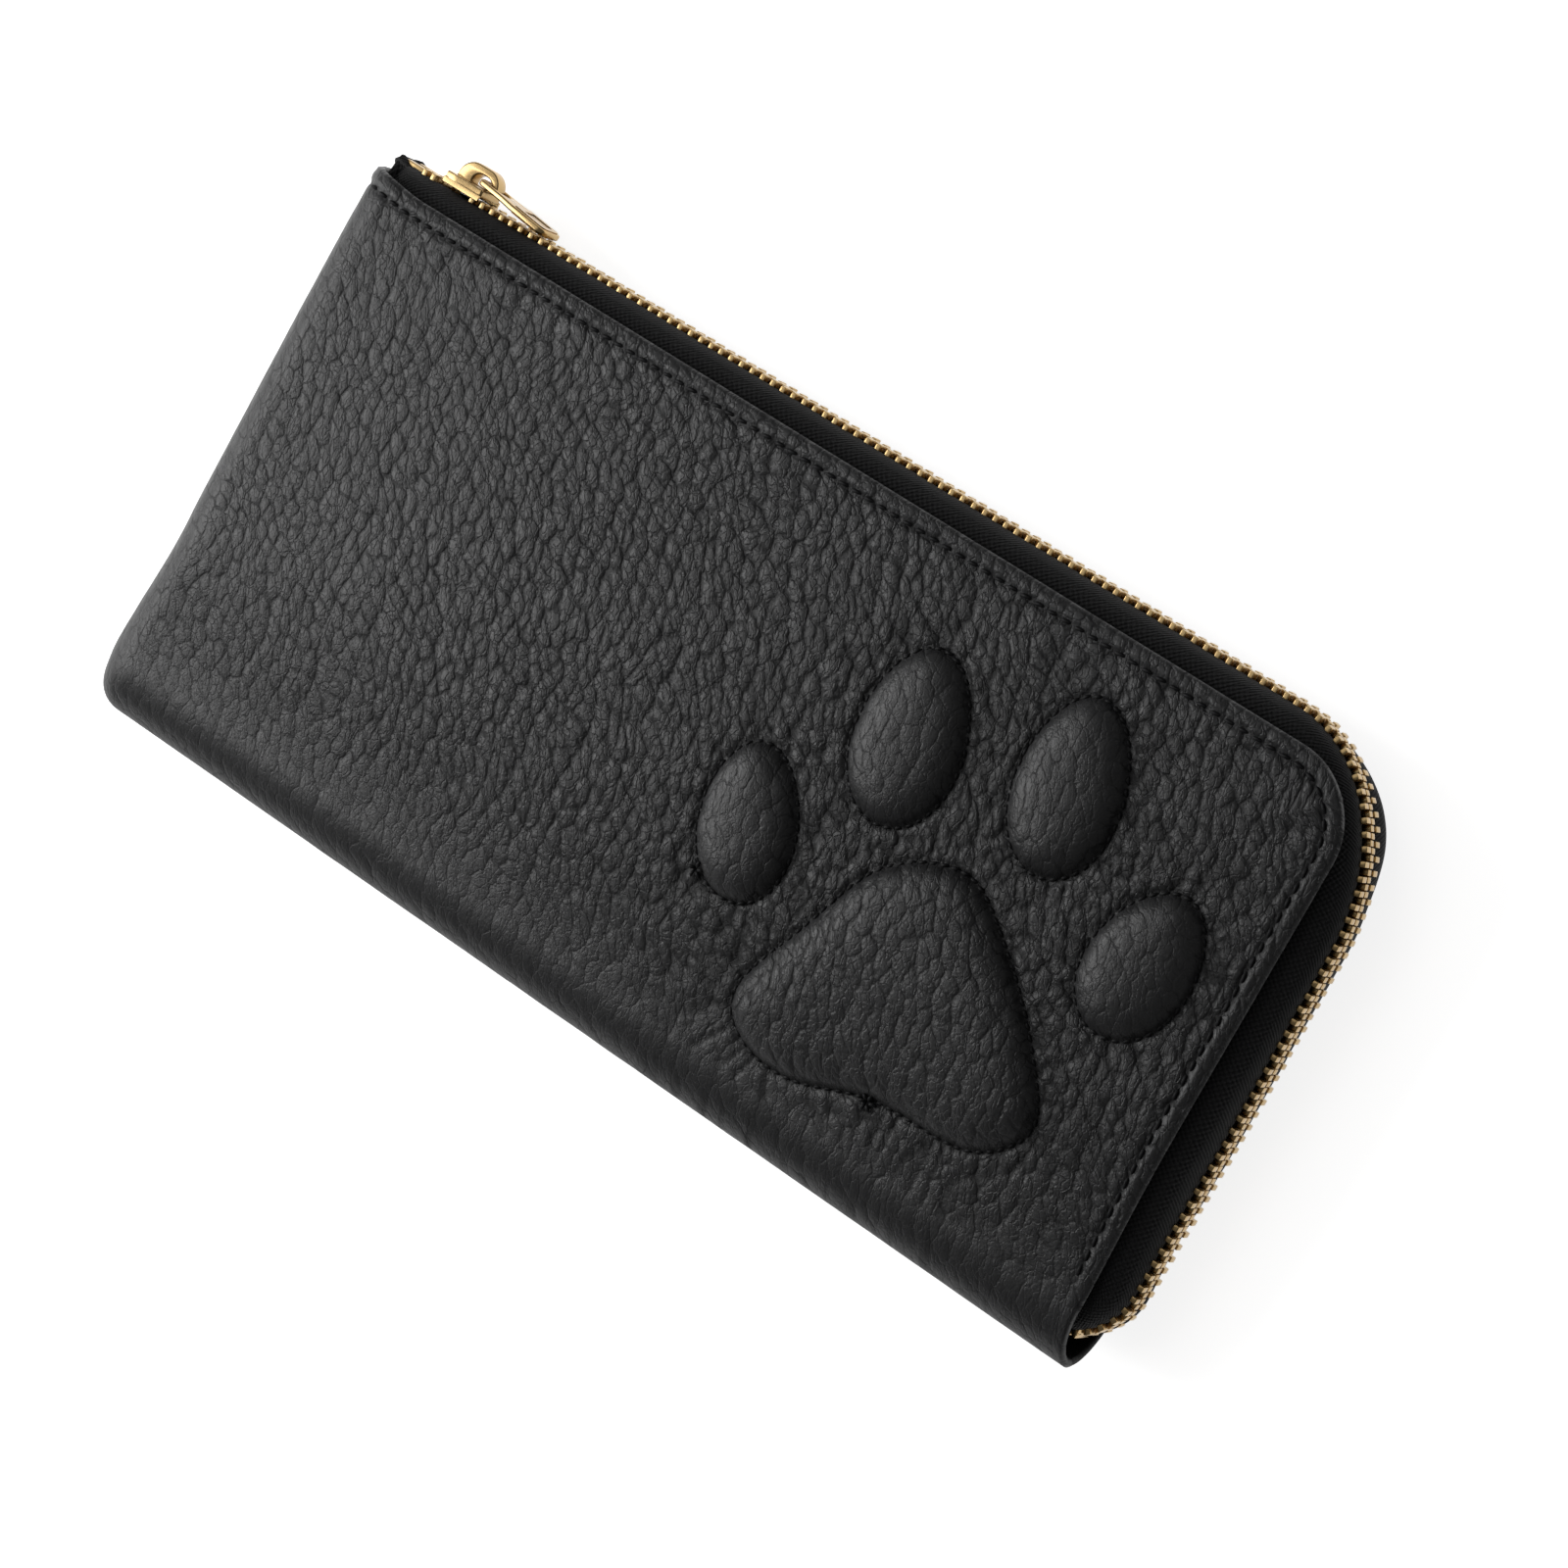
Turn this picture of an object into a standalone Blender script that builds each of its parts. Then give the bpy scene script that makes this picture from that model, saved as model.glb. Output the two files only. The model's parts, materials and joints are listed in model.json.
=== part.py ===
"""An L-zip long wallet with padded paw-print quilting, lying on its back panel.

Units are metres and +Z is up. The origin is the centre of the back panel's resting face. +X runs along
the long side towards the zipped short end, and +Y towards the zipped long edge.
"""
import math

import bmesh
import bpy
from mathutils import Matrix, Vector

MM = 0.001
COLLECTION = "zip_long_wallet"

# Driving dimensions
LEFT_X = -100 * MM          # closed end: the turned seam
SPINE_Y = -50 * MM          # folded long edge
CUT_X, CUT_Y = 94.2 * MM, 45.2 * MM      # the leather's cut edges beside the zip
CUT_RADIUS = 12 * MM
THICKNESS = 20 * MM         # outer leather, without the pads
LEATHER = 1.3 * MM
FOLD_RADIUS = 7 * MM
GAP = 0.3 * MM              # clearance between pieces that touch

# Main zip: a vertical chain that runs along the top and down the right end
CHAIN_X, CHAIN_Y, CHAIN_Z = 99.0 * MM, 48.7 * MM, 10 * MM
CHAIN_RADIUS = 20 * MM
CHAIN_START_X, CHAIN_END_Y = -84.4 * MM, -38.2 * MM
TAPE_START_X, TAPE_END_Y = -94 * MM, -40 * MM
TOOTH_PITCH = 2.0 * MM
TOOTH_THICK, TOOTH_TALL = 0.7 * MM, 1.8 * MM
TOOTH_TIP, TOOTH_ROOT = -0.9 * MM, 2.1 * MM       # reach across the chain, measured from its middle
BEAD_NEAR, BEAD_FAR, BEAD_TALL = 1.7 * MM, 2.6 * MM, 1.0 * MM
TOP_STOP_X = (-94.5 * MM, -90 * MM)
TAPE_PROFILE = [(0.25, 2.9), (0.25, 5.0), (-0.9, 7.2), (-2.6, 8.4), (-12.5, 8.4),
                (-12.5, 7.9), (-2.8, 7.9), (-1.4, 6.9), (-0.25, 4.9), (-0.25, 2.9)]

# The front panel opens along a straight bend from one end of the zip to the other: x + 2y = BEND
BEND = 26 * MM
BEND_SLOPE = math.sqrt(5)

# Paw-print pads: centre, width, length and turn of each toe, and the palm's outline, on the front panel
TOES = {
    "outer_left": (14.2, -6.9, 16.1, 24.0, 20),
    "inner_left": (30.1, 16.6, 17.7, 27.0, 10),
    "inner_right": (55.3, 22.9, 17.1, 27.0, 11),
    "outer_right": (77.9, 6.9, 16.3, 23.4, -8),
}
PALM = [(24.8, -28), (30, -15.5), (36.5, -1.5), (48, 4.3), (58.5, -1.2), (70, -11.8), (75.7, -21.5),
        (68.5, -29.6), (52, -31.4), (38, -36.2), (28, -34.6)]
PAD_HEIGHT = 2.7 * MM
CAVITY_INSET, FOAM_INSET = 1.3 * MM, 1.7 * MM

# Levels of the flat layers, bottom and top
BACK_LINING = (2.4 * MM, 2.8 * MM)
FRONT_LINING = (17.2 * MM, 17.6 * MM)
CARD_PANELS = [(3.1 * MM, 3.7 * MM, 34 * MM), (4.0 * MM, 4.6 * MM, 24 * MM), (4.9 * MM, 5.5 * MM, 14 * MM)]
FOAM_BASE = 18.75 * MM

# Coin pocket in the middle, with its own coil zip along the top
POCKET_X = (-88 * MM, 78 * MM)
POCKET_Y = (-44 * MM, 24.5 * MM)
POCKET_Z, POCKET_HALF, POCKET_WALL = 12.4 * MM, 2.4 * MM, 0.6 * MM
COIL_X = (-74 * MM, 68 * MM)
COIL_Y, COIL_HALF, COIL_Z = 26 * MM, 0.8 * MM, (0.15 * MM, 1.7 * MM)
COIN_TAPE_Y, COIN_TAPE_Z = (17.5 * MM, 24.9 * MM), (1.3 * MM, 1.7 * MM)

# Sliders, in mm. Each straddles its chain: two plates joined by a wedge, with an arched bail on the outer
# plate. "channel" is the clear half height and half width for the teeth, "slot" the clear half height for
# the tape, and "overhang" how far the bail reaches past the plate.
MAIN_SLIDER = {
    "centre": (-83.2, 48.7, 10), "length": 7.4, "half_width": 3.4, "inner_half_width": 3.4,
    "channel": (1.2, 2.85), "slot": 0.55, "plate": 1.3,
    "overhang": 1.2, "bail_height": 3.2, "strap": 1.3, "bail_half_width": 1.2,
}
COIN_SLIDER = {
    "centre": (-74.5, 26, 12.4), "length": 8, "half_width": 2.6, "inner_half_width": 1.0,
    "channel": (1.1, 2.1), "slot": 0.5, "plate": 1.0,
    "overhang": 0.8, "bail_height": 2.3, "strap": 0.7, "bail_half_width": 1.0,
}

# Pullers, in mm: "pivot" is where the eye's bar turns, "turn" the angle from +X at rest, and "eye" the reach
# and half width of the hole that the bail passes through
MAIN_PULLER = {"pivot": (-81.1, 52.3, 10), "turn": -7, "length": 14.5, "half_width": 3.2, "thick": 1.0,
               "eye": (4.6, 1.6), "corner": 1.2}
COIN_PULLER = {"pivot": (-71.9, 29, 12.4), "turn": 0, "length": 12, "half_width": 2.4, "thick": 0.8,
               "eye": (3.8, 1.35), "corner": 1.0}


def clear_scene():
    for obj in list(bpy.data.objects):
        bpy.data.objects.remove(obj)


def new_collection(name):
    collection = bpy.data.collections.new(name)
    bpy.context.scene.collection.children.link(collection)
    return collection


def material(name, colour, roughness, metallic=0.0):
    mat = bpy.data.materials.get(name) or bpy.data.materials.new(name)
    mat.use_nodes = True
    shader = mat.node_tree.nodes["Principled BSDF"]
    shader.inputs["Base Color"].default_value = (*colour, 1)
    shader.inputs["Roughness"].default_value = roughness
    shader.inputs["Metallic"].default_value = metallic
    return mat


def grained_leather():
    return material("grained_leather", (0.045, 0.045, 0.048), 0.5)


def lining_cloth():
    return material("lining_cloth", (0.03, 0.03, 0.033), 0.85)


def card_leather():
    return material("card_leather", (0.05, 0.05, 0.054), 0.55)


def foam():
    return material("foam", (0.6, 0.6, 0.58), 0.95)


def woven_tape():
    return material("woven_tape", (0.008, 0.008, 0.009), 0.85)


def gold_metal():
    return material("gold_metal", (0.83, 0.62, 0.30), 0.25, 1.0)


def black_coil():
    return material("black_coil", (0.012, 0.012, 0.013), 0.4)


def add_object(name, data, mat, collection):
    obj = bpy.data.objects.new(name, data)
    data.materials.append(mat)
    collection.objects.link(obj)
    return obj


def hide_cutter(obj):
    obj.hide_render = True
    obj.display_type = "WIRE"


def mesh_from(bm, name):
    bmesh.ops.recalc_face_normals(bm, faces=bm.faces)
    mesh = bpy.data.meshes.new(name)
    bm.to_mesh(mesh)
    bm.free()
    return mesh


def boolean(obj, cutter, operation):
    modifier = obj.modifiers.new(operation.lower() + "_" + cutter.name, "BOOLEAN")
    modifier.operation = operation
    modifier.object = cutter


def poly_curve(name, outlines, half_thickness):
    """A flat plate: closed outlines in the XY plane, filled and given a thickness."""
    curve = bpy.data.curves.new(name, "CURVE")
    curve.dimensions = "2D"
    curve.fill_mode = "BOTH"
    curve.extrude = half_thickness
    for outline in outlines:
        spline = curve.splines.new("POLY")
        spline.points.add(len(outline) - 1)
        for point, (x, y) in zip(spline.points, outline):
            point.co = (x, y, 0, 1)
        spline.use_cyclic_u = True
    return curve


def plate(name, outlines, low, high, mat, collection):
    """A flat plate between two levels."""
    obj = add_object(name, poly_curve(name, outlines, (high - low) / 2), mat, collection)
    obj.location.z = (low + high) / 2
    return obj


def as_mesh(obj):
    """The same object as a welded mesh, ready to be cut."""
    bpy.context.view_layer.update()
    evaluated = obj.evaluated_get(bpy.context.evaluated_depsgraph_get())
    mesh = bpy.data.meshes.new_from_object(evaluated)
    bm = bmesh.new()
    bm.from_mesh(mesh)
    bmesh.ops.remove_doubles(bm, verts=bm.verts, dist=0.01 * MM)
    bmesh.ops.recalc_face_normals(bm, faces=bm.faces)
    bm.to_mesh(mesh)
    bm.free()
    welded = bpy.data.objects.new(obj.name + "_mesh", mesh)
    welded.matrix_world = obj.matrix_world
    for collection in obj.users_collection:
        collection.objects.link(welded)
    name = obj.name
    bpy.data.objects.remove(obj)
    welded.name = name
    return welded


def box(name, low, high, mat, collection):
    """A box between two corners."""
    low, high = Vector(low), Vector(high)
    bm = bmesh.new()
    bmesh.ops.create_cube(bm, size=1)
    size = high - low
    bmesh.ops.scale(bm, vec=size, verts=bm.verts)
    bmesh.ops.translate(bm, vec=(low + high) / 2, verts=bm.verts)
    return add_object(name, mesh_from(bm, name), mat, collection)


def arc(centre, radius, start, end, steps):
    """Points on an arc, angles in degrees."""
    angles = [math.radians(start + (end - start) * i / steps) for i in range(steps + 1)]
    return [(centre[0] + radius * math.cos(a), centre[1] + radius * math.sin(a)) for a in angles]


def cornered_rectangle(x0, x1, y0, y1, radius, small=1.5 * MM):
    """A rectangle whose +X +Y corner has its own radius."""
    return (arc((x0 + small, y0 + small), small, 180, 270, 3)
            + arc((x1 - small, y0 + small), small, 270, 360, 3)
            + arc((x1 - radius, y1 - radius), radius, 0, 90, 8)
            + arc((x0 + small, y1 - small), small, 90, 180, 3))


def zip_path(start_x, end_y):
    """The chain's route, seen from above: along the top, round the corner, down the right end."""
    corner = (CHAIN_X - CHAIN_RADIUS, CHAIN_Y - CHAIN_RADIUS)
    return [(start_x, CHAIN_Y)] + arc(corner, CHAIN_RADIUS, 90, 0, 10) + [(CHAIN_X, end_y)]


def point_along(distance):
    """Position and heading at a distance along the chain from its start."""
    top = CHAIN_X - CHAIN_RADIUS - CHAIN_START_X
    bend = CHAIN_RADIUS * math.pi / 2
    if distance < top:
        return (CHAIN_START_X + distance, CHAIN_Y), 0.0
    if distance < top + bend:
        turn = (distance - top) / CHAIN_RADIUS
        centre_x, centre_y = CHAIN_X - CHAIN_RADIUS, CHAIN_Y - CHAIN_RADIUS
        return (centre_x + CHAIN_RADIUS * math.sin(turn), centre_y + CHAIN_RADIUS * math.cos(turn)), -turn
    return (CHAIN_X, CHAIN_Y - CHAIN_RADIUS - (distance - top - bend)), -math.pi / 2


def swept_strip(name, path, profile, mat, collection, guides):
    """A strip with a constant section, as (outward, up) pairs, along a flat path."""
    section = bpy.data.curves.new(name + "_section", "CURVE")
    section.dimensions = "2D"
    outline = section.splines.new("POLY")
    outline.points.add(len(profile) - 1)
    for point, (outward, up) in zip(outline.points, profile):
        point.co = (-outward, up, 0, 1)
    outline.use_cyclic_u = True
    guide = bpy.data.objects.new(name + "_section", section)
    guides.objects.link(guide)
    hide_cutter(guide)
    curve = bpy.data.curves.new(name, "CURVE")
    curve.dimensions = "2D"
    curve.fill_mode = "NONE"
    curve.bevel_mode = "OBJECT"
    curve.bevel_object = guide
    curve.use_fill_caps = True
    spline = curve.splines.new("POLY")
    spline.points.add(len(path) - 1)
    for point, (x, y) in zip(spline.points, path):
        point.co = (x, y, 0, 1)
    obj = add_object(name, curve, mat, collection)
    obj.location.z = CHAIN_Z
    return as_mesh(obj)


def pillow(name, outline, low, rim, top, mat, collection):
    """A low dome on a closed outline: upright to the rim, then rounded over to the top."""
    middle = Vector((sum(p[0] for p in outline), sum(p[1] for p in outline))) / len(outline)
    rings = [(1.0, low), (1.0, rim), (0.88, rim + 0.62 * (top - rim)), (0.6, rim + 0.95 * (top - rim))]
    bm = bmesh.new()
    edges = []
    verts = [bm.verts.new((*p, low)) for p in outline]
    for a, b in zip(verts, verts[1:] + verts[:1]):
        edges.append(bm.edges.new((a, b)))
    bm.faces.new(verts)
    for (scale_before, _), (scale, level) in zip(rings, rings[1:]):
        out = bmesh.ops.extrude_edge_only(bm, edges=edges)["geom"]
        edges = [g for g in out if isinstance(g, bmesh.types.BMEdge)]
        for vert in {v for e in edges for v in e.verts}:
            flat = Vector((vert.co.x, vert.co.y))
            flat = middle + (flat - middle) * scale / scale_before
            vert.co = (flat.x, flat.y, level)
    fan = bmesh.ops.edgeloop_fill(bm, edges=edges)["faces"]
    centre = bmesh.ops.poke(bm, faces=fan)["verts"][0]
    centre.co = (middle.x, middle.y, top)
    return add_object(name, mesh_from(bm, name), mat, collection)


def toe_outline(x, y, width, length, turn, inset, count=18):
    """An egg-shaped outline, a little narrower at the end away from the palm."""
    points = []
    for i in range(count):
        a = 2 * math.pi * i / count
        across = (width * MM / 2 - inset) * math.sin(a) * (1 - 0.10 * math.cos(a))
        along = (length * MM / 2 - inset) * math.cos(a)
        t = math.radians(turn)
        points.append((x * MM + across * math.cos(t) - along * math.sin(t),
                       y * MM + across * math.sin(t) + along * math.cos(t)))
    return points[::-1]


def palm_outline(inset, steps=2):
    """A smooth closed curve through the palm's points, moved inwards."""
    points = [Vector(p) * MM for p in PALM]
    middle = sum(points, Vector((0, 0))) / len(points)
    points = [p + (middle - p).normalized() * inset for p in points]
    smooth = []
    for i in range(len(points)):
        a, b, c, d = (points[(i + k - 1) % len(points)] for k in range(4))
        for step in range(steps):
            t = step / steps
            p = 0.5 * (2 * b + (c - a) * t + (2 * a - 5 * b + 4 * c - d) * t * t
                       + (3 * b - a - 3 * c + d) * t ** 3)
            smooth.append((p.x, p.y))
    return smooth[::-1]


def pad_outlines(inset):
    outlines = {name: toe_outline(*toe, inset) for name, toe in TOES.items()}
    outlines["palm"] = palm_outline(inset)
    return outlines


def flap_region(name, clearance, cutters):
    """Everything over the front panel on the opening side of the bend line."""
    far = 130 * MM
    level = BEND + clearance * BEND_SLOPE
    outline = [(-far, (level + far) / 2), (far, (level - far) / 2), (far, far), (-far, far)]
    region = as_mesh(plate(name, [outline], 12 * MM, 30 * MM, grained_leather(), cutters))
    hide_cutter(region)
    return region


def leather_pouch(name, cutters, collection):
    """The folded sheet before it is parted at the bend: two panels with the pad domes, spine, closed end."""
    reach = 20 * MM
    bm = bmesh.new()
    bmesh.ops.create_cube(bm, size=1)
    low, high = Vector((LEFT_X, SPINE_Y, 0)), Vector((CUT_X + reach, CUT_Y + reach, THICKNESS))
    bmesh.ops.scale(bm, vec=high - low, verts=bm.verts)
    bmesh.ops.translate(bm, vec=(low + high) / 2, verts=bm.verts)
    open_faces = [f for f in bm.faces if f.normal.x > 0.5 or f.normal.y > 0.5]
    bmesh.ops.delete(bm, geom=open_faces, context="FACES")
    folds = [e for e in bm.edges if len(e.link_faces) == 2]
    bmesh.ops.bevel(bm, geom=folds, offset=FOLD_RADIUS, segments=4, profile=0.5, affect="EDGES")
    mesh = bpy.data.meshes.new(name)
    bm.to_mesh(mesh)
    bm.free()
    obj = add_object(name, mesh, grained_leather(), collection)
    solidify = obj.modifiers.new("leather", "SOLIDIFY")
    solidify.thickness = LEATHER
    solidify.offset = -1
    margin = 10 * MM
    outline = cornered_rectangle(LEFT_X - margin, CUT_X, SPINE_Y - margin, CUT_Y, CUT_RADIUS)
    trim = as_mesh(plate(name + "_trim", [outline], -margin, THICKNESS + margin, grained_leather(),
                         cutters))
    hide_cutter(trim)
    boolean(obj, trim, "INTERSECT")
    top = THICKNESS + PAD_HEIGHT
    for pad, outline in pad_outlines(0).items():
        dome = pillow(f"{name}_dome_{pad}", outline, THICKNESS - 0.6 * MM, THICKNESS + 0.2 * MM, top,
                      grained_leather(), cutters)
        hide_cutter(dome)
        boolean(obj, dome, "UNION")
    for pad, outline in pad_outlines(CAVITY_INSET).items():
        hollow = pillow(f"{name}_hollow_{pad}", outline, THICKNESS - LEATHER - 0.5 * MM,
                        THICKNESS - 0.5 * MM, top - LEATHER, grained_leather(), cutters)
        hide_cutter(hollow)
        boolean(obj, hollow, "DIFFERENCE")
    return obj


def outer_leather(collection, cutters):
    body = leather_pouch("outer_leather_body", cutters, collection)
    boolean(body, flap_region("flap_space", -GAP / 2, cutters), "DIFFERENCE")
    flap = leather_pouch("outer_leather_flap", cutters, collection)
    boolean(flap, flap_region("flap_extent", GAP / 2, cutters), "INTERSECT")


def linings(collection, cutters):
    outline = cornered_rectangle(-92 * MM, 90 * MM, -42.5 * MM, 41.5 * MM, 9 * MM)
    plate("back_lining", [outline], *BACK_LINING, lining_cloth(), collection)
    for name, region, operation in (("front_lining_body", "flap_space", "DIFFERENCE"),
                                    ("front_lining_flap", "flap_extent", "INTERSECT")):
        sheet = as_mesh(plate(name, [outline], *FRONT_LINING, lining_cloth(), collection))
        boolean(sheet, bpy.data.objects[region], operation)


def foam_pads(collection):
    top = THICKNESS + PAD_HEIGHT - LEATHER - GAP
    for pad, outline in pad_outlines(FOAM_INSET).items():
        suffix = "palm" if pad == "palm" else "toe_" + pad
        pillow("foam_" + suffix, outline, FOAM_BASE, THICKNESS - 0.6 * MM, top, foam(), collection)


def card_panels(collection):
    """Stepped card panels, each with a shallow thumb dip over its two columns."""
    for number, (low, high, edge_y) in enumerate(CARD_PANELS, 1):
        x0, x1, y0 = -88 * MM, 86 * MM, -42.5 * MM
        outline = [(x0, y0), (x1, y0), (x1, edge_y)]
        for centre in ((x0 + 3 * x1) / 4, (3 * x0 + x1) / 4):
            outline += [(centre + 14 * MM, edge_y), (centre + 8 * MM, edge_y - 2.4 * MM),
                        (centre - 8 * MM, edge_y - 2.4 * MM), (centre - 14 * MM, edge_y)]
        outline.append((x0, edge_y))
        plate(f"card_panel_{number}", [outline], low, high, card_leather(), collection)


def main_zip_tapes(collection, guides):
    path = zip_path(TAPE_START_X, TAPE_END_Y)
    for name, side in (("front_zip_tape", 1), ("back_zip_tape", -1)):
        profile = [(outward * MM, side * up * MM) for outward, up in TAPE_PROFILE]
        swept_strip(name, path, profile, woven_tape(), collection, guides)


def tooth_row(name, side, phase, collection, cutters):
    """One row of teeth on its cord: side is +1 for the front tape and -1 for the back one."""
    length = CHAIN_X - CHAIN_RADIUS - CHAIN_START_X + CHAIN_RADIUS * math.pi / 2
    length += CHAIN_Y - CHAIN_RADIUS - CHAIN_END_Y
    bm = bmesh.new()
    count = int((length - TOOTH_PITCH) / TOOTH_PITCH)
    middle = side * (TOOTH_TIP + TOOTH_ROOT) / 2
    for i in range(count):
        (x, y), heading = point_along((i + phase) * TOOTH_PITCH)
        place = Matrix.Translation((x, y, CHAIN_Z + middle)) @ Matrix.Rotation(heading, 4, "Z")
        size = Matrix.Diagonal((TOOTH_THICK, TOOTH_TALL, TOOTH_ROOT - TOOTH_TIP, 1))
        bmesh.ops.create_cube(bm, size=1, matrix=place @ size)
    row = add_object(name, mesh_from(bm, name), gold_metal(), collection)
    half = BEAD_TALL / 2
    profile = [(half, side * BEAD_NEAR), (half, side * BEAD_FAR), (-half, side * BEAD_FAR),
               (-half, side * BEAD_NEAR)]
    bead = swept_strip(name + "_cord", zip_path(CHAIN_START_X - MM, CHAIN_END_Y), profile, woven_tape(),
                       cutters, cutters)
    hide_cutter(bead)
    boolean(row, bead, "UNION")


def main_zip_stops(collection):
    half = 0.8 * MM
    for name, low, high in (("front_top_stop", 1.2, 2.6), ("back_top_stop", -2.6, -1.2)):
        box(name, (TOP_STOP_X[0], CHAIN_Y - half, CHAIN_Z + low * MM),
            (TOP_STOP_X[1], CHAIN_Y + half, CHAIN_Z + high * MM), gold_metal(), collection)
    reach = 2.5 * MM
    box("bottom_stop", (CHAIN_X - half, CHAIN_END_Y - 2.4 * MM, CHAIN_Z - reach),
        (CHAIN_X + half, CHAIN_END_Y - GAP, CHAIN_Z + reach), gold_metal(), collection)


def bail_outlines(left, right, plate_end, top, height, strap):
    """The arch and its hole, seen along Z: it stands on the plate and reaches past the plate's end."""
    radius = 0.85 * height
    foot, clear = 0.3 * MM, 0.15 * MM
    rise = top + height - radius
    arch = [(left, top - foot), (plate_end - foot, top - foot), (plate_end - foot, top), (right, top)]
    arch += arc((right - radius, rise), radius, 0, 90, 4)
    arch += arc((left + radius, rise), radius, 90, 180, 4)
    inner = radius - strap
    back = left + radius + 1.5 * MM
    hole = (arc((right - radius, rise), inner, 0, 90, 4) + arc((back, rise), inner, 90, 180, 4)
            + [(back - inner, top + clear), (right - strap, top + clear)])
    return [arch, hole]


def slider(name, sizes, collection, cutters):
    """A slider over a vertical chain, from one of the tables of sizes."""
    mat = gold_metal()
    x, y, z = (value * MM for value in sizes["centre"])
    half, half_width, plate_thick = sizes["length"] * MM / 2, sizes["half_width"] * MM, sizes["plate"] * MM
    channel_y, channel_z = (value * MM for value in sizes["channel"])
    slot, inner_half = sizes["slot"] * MM, sizes["inner_half_width"] * MM
    reach = channel_y + plate_thick
    body = box(name, (x - half, y - reach, z - half_width), (x + half, y + reach, z + half_width), mat,
               collection)
    narrowing = 0.94
    for vert in body.data.vertices:
        if vert.co.x > x:
            vert.co.z = z + (vert.co.z - z) * narrowing

    far = 4 * half
    cuts = {
        "channel": ((x - far, y - channel_y, z - channel_z), (x + far, y + channel_y, z + channel_z)),
        "slot": ((x - far, y - slot, z - far), (x + far, y + slot, z + far)),
    }
    if inner_half < half_width:
        cuts["shave_front"] = ((x - far, y - far, z + inner_half), (x + far, y - slot / 2, z + far))
        cuts["shave_back"] = ((x - far, y - far, z - far), (x + far, y - slot / 2, z - inner_half))
    for cut, corners in cuts.items():
        cutter = box(f"{name}_{cut}", *corners, mat, cutters)
        hide_cutter(cutter)
        boolean(body, cutter, "DIFFERENCE")

    wedge_half = 0.8 * MM
    wedge = box(name + "_wedge", (x - 0.9 * half, y - reach + plate_thick / 2, z - wedge_half),
                (x - 0.35 * half, y + reach - plate_thick / 2, z + wedge_half), mat, cutters)
    hide_cutter(wedge)
    boolean(body, wedge, "UNION")
    outlines = bail_outlines(x - 0.75 * half, x + half + sizes["overhang"] * MM, x + half, y + reach,
                             sizes["bail_height"] * MM, sizes["strap"] * MM)
    bail_half = sizes["bail_half_width"] * MM
    bail = as_mesh(plate(name + "_bail", outlines, z - bail_half, z + bail_half, mat, cutters))
    hide_cutter(bail)
    boolean(body, bail, "UNION")


def puller(name, sizes, collection):
    """A flat pull tab with an eye. Its origin is on the pivot, in the middle of the eye's end bar."""
    thick, length, half_width = (sizes[key] * MM for key in ("thick", "length", "half_width"))
    reach, eye_half = (value * MM for value in sizes["eye"])
    corner, bar, neck = sizes["corner"] * MM, thick / 2, 0.85 * half_width
    side = [(-bar, neck), (reach, neck), (reach + 2 * MM, half_width), (length - corner, half_width),
            (length, half_width - corner)]
    outline = [(along, -across) for along, across in side] + side[::-1]
    hole = [(bar, -eye_half), (reach, -eye_half), (reach, eye_half), (bar, eye_half)]
    obj = add_object(name, poly_curve(name, [outline, hole], thick / 2), gold_metal(), collection)
    obj.location = [value * MM for value in sizes["pivot"]]
    obj.rotation_euler = (math.pi / 2, 0, math.radians(sizes["turn"]))


def coin_pocket(collection):
    """The pocket's folded sheet: a back wall, a bottom fold and a front wall."""
    fold_y = POCKET_Y[0] + POCKET_HALF
    profile = [(POCKET_Y[1], POCKET_Z - POCKET_HALF)]
    profile += [(y, z) for y, z in arc((fold_y, POCKET_Z), POCKET_HALF, 270, 90, 6)]
    profile.append((POCKET_Y[1], POCKET_Z + POCKET_HALF))
    bm = bmesh.new()
    verts = [bm.verts.new((POCKET_X[0], y, z)) for y, z in profile]
    edges = [bm.edges.new(pair) for pair in zip(verts, verts[1:])]
    out = bmesh.ops.extrude_edge_only(bm, edges=edges)["geom"]
    moved = [g for g in out if isinstance(g, bmesh.types.BMVert)]
    bmesh.ops.translate(bm, vec=(POCKET_X[1] - POCKET_X[0], 0, 0), verts=moved)
    obj = add_object("coin_pocket", mesh_from(bm, "coin_pocket"), lining_cloth(), collection)
    solidify = obj.modifiers.new("wall", "SOLIDIFY")
    solidify.thickness = POCKET_WALL
    solidify.offset = 0


def coin_zip(collection):
    low_x, high_x = COIL_X
    low_y, high_y = COIL_Y - COIL_HALF, COIL_Y + COIL_HALF
    for name, side in (("front", 1), ("back", -1)):
        tape = sorted(POCKET_Z + side * level for level in COIN_TAPE_Z)
        box(f"coin_zip_tape_{name}", (low_x - 6 * MM, COIN_TAPE_Y[0], tape[0]),
            (high_x + 3 * MM, COIN_TAPE_Y[1], tape[1]), woven_tape(), collection)
        coil = sorted(POCKET_Z + side * level for level in COIL_Z)
        box(f"coin_zip_coil_{name}", (low_x, low_y, coil[0]), (high_x, high_y, coil[1]), black_coil(),
            collection)
    reach = COIL_Z[1]
    for name, edge in (("coin_top_stop", low_x - 6.5 * MM), ("coin_bottom_stop", high_x + GAP)):
        box(name, (edge, low_y, POCKET_Z - reach), (edge + 1.5 * MM, high_y, POCKET_Z + reach),
            gold_metal(), collection)


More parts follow.
